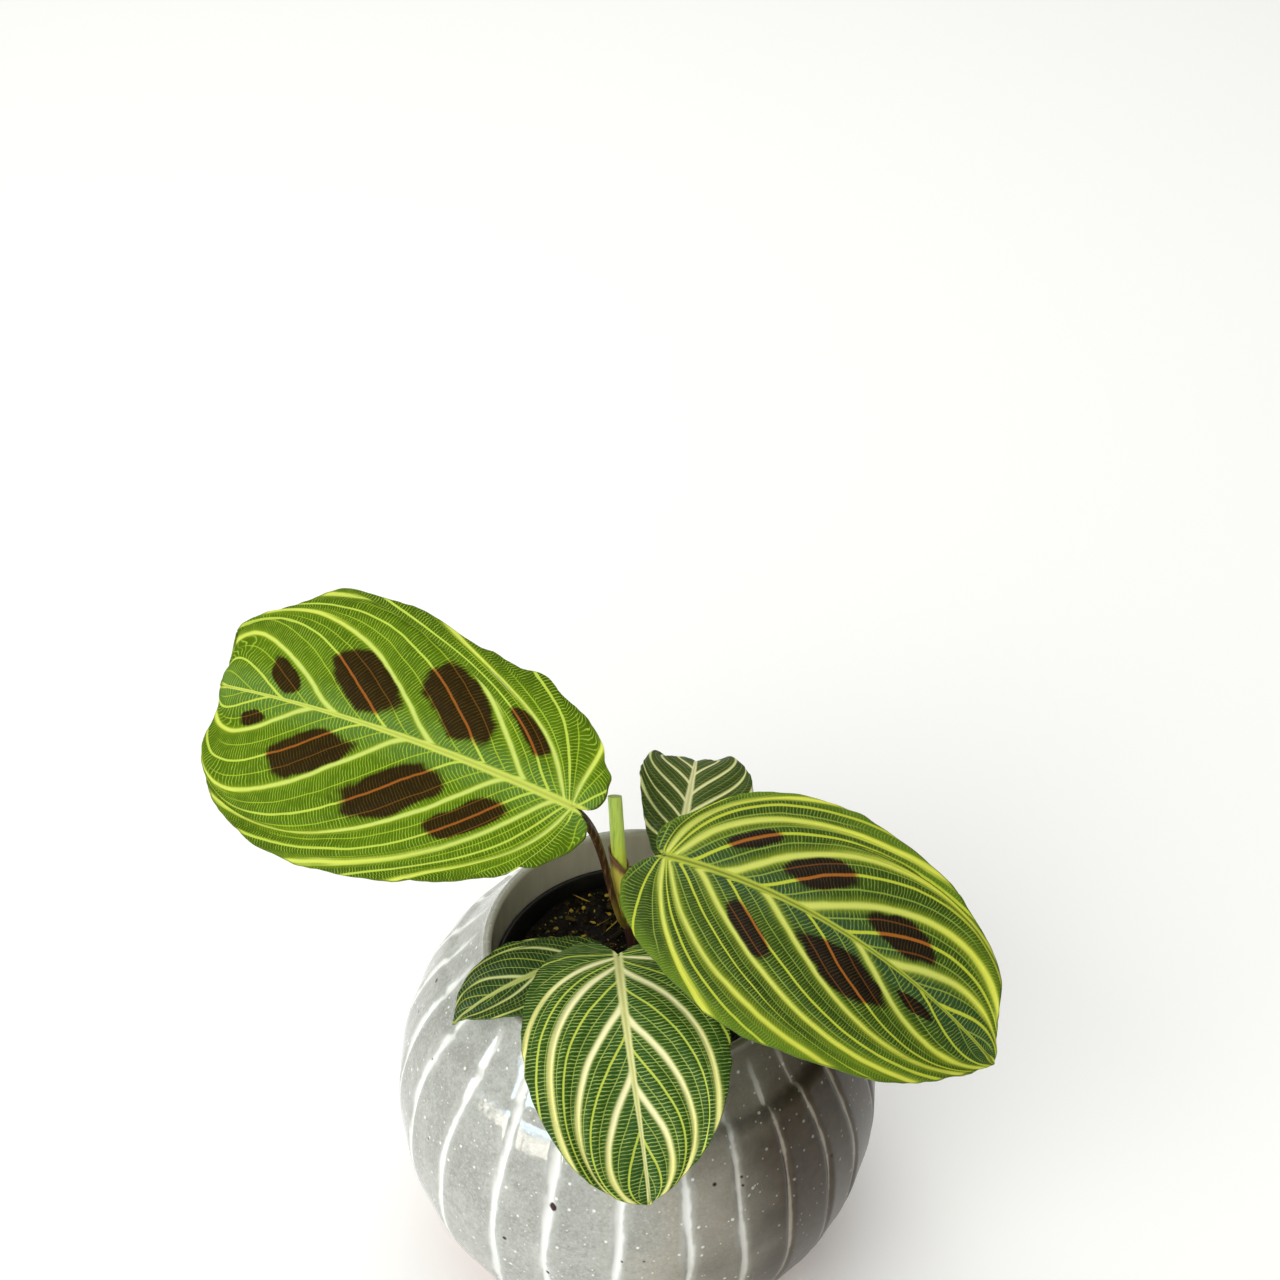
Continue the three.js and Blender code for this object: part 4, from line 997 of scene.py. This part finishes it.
def pot_profile():
    """Outside from the foot up, over the lip and down the inside, as (radius, height)."""
    foot, low, high = body_radius(0), POT["crease_height"], POT["lip_height"]
    lip, mouth = POT["lip_radius"], POT["mouth_radius"]
    # Foot ring, with a shallow hollow inside it, and the round body up to the crease.
    profile = [(0, 0.9), (foot - 6.5, 0.9), (foot - 5.6, 0.1), (foot - 5.0, 0), (foot - 0.9, 0),
               (foot - 0.25, 0.25)]
    profile += [(body_radius(z), z) for z in (1.2 + 84.2 * i / 50 for i in range(51))]
    crease = body_radius(low) - 0.8
    profile.append((crease, low))
    # Collar, drawn in to the lip.
    collar = [(0, 0), (0.4, 0.42), (0.78, 0.82), (0.93, 1)]
    for i in range(1, 13):
        share = 0.93 * i / 12
        smooth = mix(look_up(collar, share), 1 - (1 - share / 0.93) ** 1.18, 0.6)
        profile.append((mix(crease, lip, smooth), mix(low, high, share)))
    # Rounded lip, mouth, and the inside down to the floor.
    middle, half = (lip + mouth) / 2, (lip - mouth) / 2
    for i in range(1, 12):
        angle = math.pi * i / 12
        profile.append((middle + half * math.cos(angle), high - half * (1 - math.sin(angle))))
    profile += [(mouth, high - half - z) for z in (0.2, 2, 4, 7, 10, 13, 14.5)]
    profile += [(body_radius(z) - POT["wall"], z) for z in (82, 76, 68, 58, 46, 34, 24, 16, 11)]
    floor = POT["floor"]
    profile += [(body_radius(8) - 6.5, 7.4), (body_radius(floor) - 10, floor), (0, floor)]
    return profile


def glaze_material(look):
    """Stoneware under a glossy pale grey-green glaze, breaking white along the carved grooves, with
    pinholes, iron specks, and bare clay around the foot; painted shade darkens its +X side to brown."""
    material, tree = blank("stoneware_celadon_glaze")
    place = add(tree, **COORD)
    groove = add(tree, "ShaderNodeAttribute", out="Fac", attribute_name="groove")
    carved = add(tree, "ShaderNodeAttribute", out="Fac", attribute_name="carved")
    height = add(tree, "ShaderNodeSeparateXYZ", {0: place}, out="Z")
    cloud = add(tree, NOISE, {"Vector": place, "Scale": 1 / (16 * MM), "Detail": 3.0})
    fine = add(tree, NOISE, {"Vector": place, "Scale": 1 / (2.2 * MM), "Detail": 3.0})
    grain = add(tree, NOISE, {"Vector": place, "Scale": 1 / (0.8 * MM), "Detail": 2.0, "Roughness": 0.7})
    runs = add(tree, "ShaderNodeMapping", {"Vector": place, "Scale": (320.0, 320.0, 60.0)})
    streaks = add(tree, NOISE, {"Vector": runs, "Scale": 1.0, "Detail": 3.0})
    tone = add(tree, inputs={0: add(tree, inputs={0: cloud, 1: 0.35, 2: 0.65}, **FADE),
                             6: look["glaze"], 7: look["glaze_light"]}, **MIX)
    veil = add(tree, inputs={0: fine, 1: 0.4, 2: 0.7, 4: 0.5}, **FADE)
    tone = add(tree, inputs={0: veil, 6: tone, 7: linear("91928a")}, **MIX)
    bright = add(tree, inputs={0: grain, 1: 0.5, 2: 0.75, 4: 0.55}, **FADE)
    tone = add(tree, inputs={0: bright, 6: tone, 7: linear("c6c9c4")}, **MIX)
    dark = add(tree, inputs={0: grain, 1: 0.46, 2: 0.26, 4: 0.5}, **FADE)
    tone = add(tree, inputs={0: dark, 6: tone, 7: linear("7c7e78")}, **MIX)

    # Painted shade and painted dark reflections: the glaze turns beige and then
    # nearly brown towards the +X side.
    across = add(tree, "ShaderNodeSeparateXYZ", {0: place}, out="X")
    uneven = add(tree, MATH, {0: cloud, 1: 26 * MM, 2: across}, operation="MULTIPLY_ADD")
    painted_shade_side = add(tree, inputs={0: uneven, 1: 16 * MM, 2: 54 * MM}, **FADE)
    warm = add(tree, inputs={0: uneven, 1: 2 * MM, 2: 28 * MM, 4: 0.5}, **FADE)
    tone = add(tree, inputs={0: warm, 6: tone, 7: linear("a59b85")}, **MIX)
    painted_shade_tone = add(tree, inputs={0: fine, 6: linear("1f170e"), 7: linear("4c3e2b")}, **MIX)
    strength = add(tree, MATH, {0: painted_shade_side, 1: 0.96}, operation="MULTIPLY")
    tone = add(tree, inputs={0: strength, 6: tone, 7: painted_shade_tone}, **MIX)

    # Glaze break: white lines 1.5 to 3 mm wide, thinner on the +X side, where painted shade makes them
    # beige and darkens their soft edges.
    wide = add(tree, inputs={0: streaks, 1: 0.3, 2: 0.7, 3: 0.6, 4: 1.25}, **FADE)
    narrow = add(tree, MATH, {0: painted_shade_side, 1: -0.5, 2: 1.0}, operation="MULTIPLY_ADD")
    outside_painted_shade = add(tree, MATH, {0: painted_shade_side, 1: -0.75, 2: 1.0}, operation="MULTIPLY_ADD")
    wide = add(tree, MATH, {0: wide, 1: narrow}, operation="MULTIPLY")
    away = add(tree, MATH, {0: fine, 1: 0.35, 2: groove}, operation="MULTIPLY_ADD")
    away = add(tree, MATH, {0: away, 1: wide}, operation="DIVIDE")
    line = add(tree, inputs={0: away, 1: 1.75, 2: 0.55}, **FADE)
    line = add(tree, MATH, {0: line, 1: carved}, operation="MULTIPLY")
    soft = add(tree, inputs={0: away, 1: 3.8, 2: 0.9, 4: 0.5}, **FADE)
    soft = add(tree, MATH, {0: soft, 1: carved}, operation="MULTIPLY")
    soft_tone = add(tree, inputs={0: painted_shade_side, 6: linear("c4c7c2"), 7: linear("5c5246")}, **MIX)
    tone = add(tree, inputs={0: soft, 6: tone, 7: soft_tone}, **MIX)
    line_tone = add(tree, inputs={0: painted_shade_side, 6: look["glaze_break"], 7: linear("a39a89")}, **MIX)
    tone = add(tree, inputs={0: line, 6: tone, 7: line_tone}, **MIX)

    # Painted shadow: a dark band along the crease below the collar, on the +X side.
    crease = add(tree, MATH, {0: fine, 1: 2 * MM, 2: height}, operation="MULTIPLY_ADD")
    crease = add(tree, MATH, {0: crease, 1: (POT["crease_height"] + 1) * MM}, operation="SUBTRACT")
    crease = add(tree, MATH, {0: crease}, operation="ABSOLUTE")
    crease = add(tree, inputs={0: crease, 1: 2.2 * MM, 2: 0.0, 4: 0.6}, **FADE)
    crease = add(tree, MATH, {0: crease, 1: strength}, operation="MULTIPLY")
    tone = add(tree, inputs={0: crease, 6: tone, 7: linear("17110b")}, **MIX)

    # Pinholes and white specks, 0.2 to 0.5 mm across, then scattered iron specks, all faded out
    # under the painted shade on the +X side.
    for size, least, radius, colour in ((3.4, 0.4, 0.11, "e2e4df"), (1.9, 0.62, 0.12, "d8dad5"),
                                        (9.0, 0.45, 0.035, "2b2118")):
        near = add(tree, "ShaderNodeTexVoronoi", {"Vector": place, "Scale": 1 / (size * MM)})
        pick = add(tree, "ShaderNodeTexVoronoi", {"Vector": place, "Scale": 1 / (size * MM)}, out="Color")
        rare = add(tree, inputs={0: pick, 1: least, 2: least + 0.02}, **FADE)
        dot = add(tree, inputs={0: near, 1: radius * 1.4, 2: radius * 0.8}, **FADE)
        dot = add(tree, MATH, {0: dot, 1: rare}, operation="MULTIPLY")
        dot = add(tree, MATH, {0: dot, 1: outside_painted_shade}, operation="MULTIPLY")
        tone = add(tree, inputs={0: dot, 6: tone, 7: linear(colour)}, **MIX)
    for longitude, z, radius in IRON_SPOTS:
        out = (body_radius(min(z, POT["crease_height"])) - 0.2) * MM
        angle = math.radians(longitude)
        spot = (out * math.sin(angle), -out * math.cos(angle), z * MM)
        far = add(tree, "ShaderNodeVectorMath", {0: place, 1: spot}, out="Value", operation="DISTANCE")
        far = add(tree, MATH, {0: fine, 1: 0.5 * MM, 2: far}, operation="MULTIPLY_ADD")
        dot = add(tree, inputs={0: far, 1: (radius + 0.5) * MM, 2: (radius + 0.05) * MM}, **FADE)
        tone = add(tree, inputs={0: dot, 6: tone, 7: linear("2c100c")}, **MIX)

    # Inside, the glaze is pale beige, partly its own colour and partly painted light for the inside that the
    # lamps barely reach. On the lip it is olive brown, and it stops in a wavy line above the foot.
    mouth, lip_height = POT["mouth_radius"], POT["lip_height"]
    depth = add(tree, "ShaderNodeVectorMath", {0: place, 1: (1.0, 1.0, 0.0)}, operation="MULTIPLY")
    depth = add(tree, "ShaderNodeVectorMath", {0: depth}, out="Value", operation="LENGTH")
    inside = add(tree, inputs={0: depth, 1: (mouth + 0.6) * MM, 2: mouth * MM}, **FADE)
    inner = add(tree, inputs={0: streaks, 6: linear("b0aa96"), 7: linear("d2ccb8")}, **MIX)
    tone = add(tree, inputs={0: inside, 6: tone, 7: inner}, **MIX)
    lip = add(tree, inputs={0: height, 1: (lip_height - 1.3) * MM, 2: lip_height * MM, 4: 0.35}, **FADE)
    tone = add(tree, inputs={0: lip, 6: tone, 7: linear("8b8468")}, **MIX)
    wavy = add(tree, MATH, {0: cloud, 1: -9 * MM, 2: height}, operation="MULTIPLY_ADD")
    bare = add(tree, inputs={0: wavy, 1: 12.6 * MM, 2: 12.0 * MM}, **FADE)
    clay = add(tree, inputs={0: fine, 6: linear("a58a7c"), 7: linear("bda396")}, **MIX)
    tone = add(tree, inputs={0: bare, 6: tone, 7: clay}, **MIX)
    rough = add(tree, inputs={0: painted_shade_side, 3: 0.08, 4: 0.3}, **FADE)
    rough = add(tree, MATH, {0: bare, 1: 0.7, 2: rough}, operation="MULTIPLY_ADD")
    bump = add(tree, "ShaderNodeBump", {"Strength": 0.16, "Distance": 0.2 * MM, "Height": fine})
    skin = add(tree, SKIN, {"Base Color": tone, "Roughness": rough, "IOR": 1.52,
                            "Specular IOR Level": 0.22, "Normal": bump})
    add(tree, OUTPUT, {"Surface": skin})
    return material


def make_pot(steps, look):
    """Pot turned on the wheel, then cut with upright grooves."""
    mesh = spun(pot_profile(), steps)
    groove = mesh.verts.layers.float.new("groove")
    carved = mesh.verts.layers.float.new("carved")
    grooves = groove_longitudes()
    crease, lip = POT["crease_height"], POT["lip_height"]
    for corner in mesh.verts:
        x, y, z = corner.co / MM
        radius = math.hypot(x, y)
        collar = z > crease
        inmost = POT["lip_radius"] + 0.3 if collar else body_radius(z) - 2.5
        corner[groove] = UNCARVED
        if radius <= inmost:
            continue
        strength = clamp(1.2 - (z - crease) / ((lip - crease) * 0.62)) * clamp(0.3 + (z - crease) / 1.2)
        if not collar:
            strength = clamp(z / 12) * clamp((crease + 0.9 - z) / 1.6)
        longitude = math.degrees(math.atan2(x, -y)) + (1.0 if collar else 0.0)
        away, cut = carving(longitude, z, radius, grooves)
        corner[groove] = min(away, UNCARVED)
        corner[carved] = strength ** 0.7
        shrink = 1 - cut * strength / radius
        corner.co.x *= shrink
        corner.co.y *= shrink
    settle(mesh, "pot_body", [glaze_material(look)], ["pot"])


# ---------------------------------------------------------------- floor, light and camera


def lay_floor(colour):
    """Plain pale floor, far wider than the pot."""
    mesh = bmesh.new()
    bmesh.ops.create_grid(mesh, x_segments=1, y_segments=1, size=4.0)
    data = bpy.data.meshes.new("floor")
    mesh.to_mesh(data)
    mesh.free()
    material, tree = blank("floor_matt_pale_paint")
    skin = add(tree, SKIN, {"Base Color": list(colour), "Roughness": 0.9})
    add(tree, OUTPUT, {"Surface": skin})
    data.materials.append(material)
    floor = bpy.data.objects.new("floor", data)
    bpy.context.scene.collection.objects.link(floor)


def place_light(name, spot, target, size, power, colour):
    """Rectangular soft light at spot, turned to face target."""
    data = bpy.data.lights.new(name, "AREA")
    data.shape = "RECTANGLE"
    data.size, data.size_y = size
    data.energy = power
    data.color = colour
    light = bpy.data.objects.new(name, data)
    light.location = spot
    light.rotation_euler = (Vector(target) - Vector(spot)).to_track_quat("-Z", "Y").to_euler()
    bpy.context.scene.collection.objects.link(light)
    return light


def light_room():
    """Daylight from the left and above; the room to the right is dim and warm."""
    world = bpy.data.worlds.new("room")
    world.use_nodes = True
    tree = world.node_tree
    tree.nodes.clear()
    way = add(tree, "ShaderNodeTexCoord", out="Generated")
    side = add(tree, "ShaderNodeVectorMath", {0: way, 1: (1.0, 0.0, -0.9)}, out="Value",
               operation="DOT_PRODUCT")
    share = add(tree, inputs={0: side, 1: -0.35, 2: 0.4}, **FADE)
    room = add(tree, inputs={0: share, 6: linear("f2f2f0"), 7: linear("15100a")}, **MIX)
    seen = add(tree, "ShaderNodeLightPath", out="Is Camera Ray")
    tone = add(tree, inputs={0: seen, 6: room, 7: linear("f4f4f2")}, **MIX)
    strength = add(tree, inputs={0: seen, 1: 0.0, 2: 1.0, 3: 0.85, 4: 1.0}, **FADE)
    light = add(tree, "ShaderNodeBackground", {"Color": tone, "Strength": strength})
    add(tree, "ShaderNodeOutputWorld", {"Surface": light})
    bpy.context.scene.world = world
    bpy.context.scene.view_settings.view_transform = "Standard"


def aim_camera():
    """Camera at the photo's angle."""
    data = bpy.data.cameras.new("camera")
    data.sensor_width = CAMERA["sensor"]
    data.lens = CAMERA["lens"]
    data.clip_start = CAMERA["nearest"]
    camera = bpy.data.objects.new("camera", data)
    right, up = Vector(CAMERA["right"]), Vector(CAMERA["up"])
    turned = Matrix((right, up, right.cross(up))).transposed().to_4x4()
    camera.matrix_world = Matrix.Translation(CAMERA["place"]) @ turned
    bpy.context.scene.collection.objects.link(camera)
    bpy.context.scene.camera = camera


# ---------------------------------------------------------------- settings


class PlantPotSettings(bpy.types.PropertyGroup):
    """Look of the carved pot."""

    glaze: bpy.props.FloatVectorProperty(
        name="Glaze", description="Main colour of the glaze", subtype="COLOR", size=4,
        default=linear("9fa19b"))
    glaze_light: bpy.props.FloatVectorProperty(
        name="Light glaze", description="Colour of its paler clouds", subtype="COLOR", size=4,
        default=linear("afb1ab"))
    glaze_break: bpy.props.FloatVectorProperty(
        name="Glaze break", description="Colour of the lines along the grooves", subtype="COLOR", size=4,
        default=linear("ebede9"))
    steps: bpy.props.IntProperty(
        name="Steps", description="Faces around the pot", default=760, min=90, max=900)


class PlantLeafSettings(bpy.types.PropertyGroup):
    """Build of the leaf blades."""

    thickness: bpy.props.FloatProperty(
        name="Thickness", description="Thickness of a blade", default=0.5 * MM, unit="LENGTH")
    vein_width: bpy.props.FloatProperty(
        name="Vein width", description="Half width of a main vein near the midrib", default=0.74 * MM,
        unit="LENGTH")
    merge: bpy.props.FloatProperty(
        name="Merge", description="How far a main vein runs along the midrib where it joins it",
        default=3.0 * MM, unit="LENGTH")


class PlantSoilSettings(bpy.types.PropertyGroup):
    """What lies on the soil."""

    bits: bpy.props.IntProperty(
        name="Bits", description="Number of chips and flakes", default=1900, min=0)
    seed: bpy.props.IntProperty(name="Seed", description="Seed of their places", default=11)


class PlantStageSettings(bpy.types.PropertyGroup):
    """Floor and light."""

    floor: bpy.props.FloatVectorProperty(
        name="Floor", description="Colour of the floor", subtype="COLOR", size=4, default=linear("fbfbfa"))
    window: bpy.props.FloatProperty(
        name="Window", description="Power of the window's panes", default=28.0, unit="POWER")
    left: bpy.props.FloatProperty(
        name="Left", description="Power of the soft light on the left", default=7.0, unit="POWER")
    sky: bpy.props.FloatProperty(
        name="Sky", description="Power of the overhead light", default=5.0, unit="POWER")


# ---------------------------------------------------------------- operators


class PLANT_OT_pot(bpy.types.Operator):
    """Build the carved, glazed pot"""

    bl_idname = "plant.pot"
    bl_label = "Carved pot"

    def execute(self, context):
        settings = context.scene.plant_pot
        look = {key: list(getattr(settings, key)) for key in ("glaze", "glaze_light", "glaze_break")}
        make_pot(settings.steps, look)
        return {"FINISHED"}


class PLANT_OT_nursery_pot(bpy.types.Operator):
    """Build the black nursery pot"""

    bl_idname = "plant.nursery_pot"
    bl_label = "Nursery pot"

    def execute(self, context):
        make_nursery_pot()
        return {"FINISHED"}


class PLANT_OT_soil(bpy.types.Operator):
    """Build the soil and the bits lying on it"""

    bl_idname = "plant.soil"
    bl_label = "Soil"

    def execute(self, context):
        make_soil(context.scene.plant_soil.bits, context.scene.plant_soil.seed)
        return {"FINISHED"}


class PLANT_OT_stems(bpy.types.Operator):
    """Build the stem, the cut stub, its sheath and the leaf stalks"""

    bl_idname = "plant.stems"
    bl_label = "Stems and stalks"

    def execute(self, context):
        make_main_stem(stalk_material("stem_purple_brown", "4a2d28", "c2b446", "6d5040", 98.5, 104.0))
        cut = stalk_material("stub_cut_dried", "7c8a48", "8f9a58", "5c6030", 139.0, 142.0, 0.8)
        make_stub(stalk_material("stub_light_green", "d6e44c", "d2ec6c", "96b83c", 118.0, 136.0, 0.42), cut)
        make_sheath(sheath_material())
        brown = stalk_material("petiole_reddish_brown", "a08e38", "3e2414", "8a7240", 99.0, 116.0, 0.33)
        make_petiole("petiole_left", brown)
        green = stalk_material("petiole_olive_green", "6a6330", "8d9a45", "5a5226", 88.0, 106.0, 0.38)
        for name in ("petiole_right", "petiole_front", "petiole_small_left", "petiole_back"):
            make_petiole(name, green)
        return {"FINISHED"}


class PLANT_OT_leaves(bpy.types.Operator):
    """Build the five leaves"""

    bl_idname = "plant.leaves"
    bl_label = "Leaves"

    def execute(self, context):
        settings = context.scene.plant_leaf
        underside = underside_material()
        bright = blade_material("leaf_yellow_green_pale_veins", BRIGHT)
        middle = blade_material("leaf_green_yellow_veins", MIDDLE)
        deep = blade_material("leaf_deep_green_cream_veins", DEEP)
        young = blade_material("leaf_young_deep_green", SMALL)
        back = blade_material("leaf_dull_green_cream_veins", BACK)
        looks = {"leaf_left": bright, "leaf_right": middle, "leaf_front": deep, "leaf_small_left": young,
                 "leaf_back": back}
        for name, material in looks.items():
            size = clamp(LEAVES[name]["length"] / 70, 0.62, 1.0)
            broad = 1.2 if material in (deep, back) else 1.0
            LEAVES[name].update(
                vein_width=settings.vein_width / MM * size * broad, merge=settings.merge / MM * size,
                level_cross_veins=material in (deep, young, back))
            make_leaf(name, material, underside, settings.thickness)
        return {"FINISHED"}


class PLANT_OT_stage(bpy.types.Operator):
    """Set the floor, the light and the camera"""

    bl_idname = "plant.stage"
    bl_label = "Stage"

    def execute(self, context):
        settings = context.scene.plant_stage
        lay_floor(settings.floor)
        for name, (height, tall, share, colour) in WINDOW_PANES.items():
            pane = place_light(name, (*WINDOW_PLACE, height), (0, 0, height - 0.05), (WINDOW_WIDTH, tall),
                               settings.window * share, colour)
            pane.visible_diffuse = False
        middle = (0, 0, 0.08)
        place_light("left_light", (-0.52, -0.74, 0.74), middle, (0.8, 0.8), settings.left, DAYLIGHT)
        place_light("overhead_light", (-0.15, 0.6, 1.15), middle, (0.9, 0.9), settings.sky, DAYLIGHT)
        light_room()
        aim_camera()
        return {"FINISHED"}


class PLANT_PT_panel(bpy.types.Panel):
    """Buttons and settings for the plant's pieces"""

    bl_idname = "PLANT_PT_panel"
    bl_label = "Prayer plant"
    bl_space_type = "VIEW_3D"
    bl_region_type = "UI"
    bl_category = "Prayer plant"

    def draw(self, context):
        for operator in OPERATORS:
            self.layout.operator(operator.bl_idname)
        for group, owner in GROUPS.items():
            box = self.layout.box()
            for key in owner.__annotations__:
                box.prop(getattr(context.scene, group), key)


GROUPS = {
    "plant_pot": PlantPotSettings,
    "plant_leaf": PlantLeafSettings,
    "plant_soil": PlantSoilSettings,
    "plant_stage": PlantStageSettings,
}
OPERATORS = (
    PLANT_OT_pot, PLANT_OT_nursery_pot, PLANT_OT_soil, PLANT_OT_stems, PLANT_OT_leaves, PLANT_OT_stage,
)


def register():
    for kind in (*GROUPS.values(), *OPERATORS, PLANT_PT_panel):
        bpy.utils.register_class(kind)
    for name, kind in GROUPS.items():
        setattr(bpy.types.Scene, name, bpy.props.PointerProperty(type=kind))


def unregister():
    for name in GROUPS:
        delattr(bpy.types.Scene, name)
    for kind in (PLANT_PT_panel, *reversed(OPERATORS), *reversed(GROUPS.values())):
        bpy.utils.unregister_class(kind)


def main():
    register()
    for operator in OPERATORS:
        group, name = operator.bl_idname.split(".")
        getattr(getattr(bpy.ops, group), name)()
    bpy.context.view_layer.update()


if __name__ == "__main__":
    main()
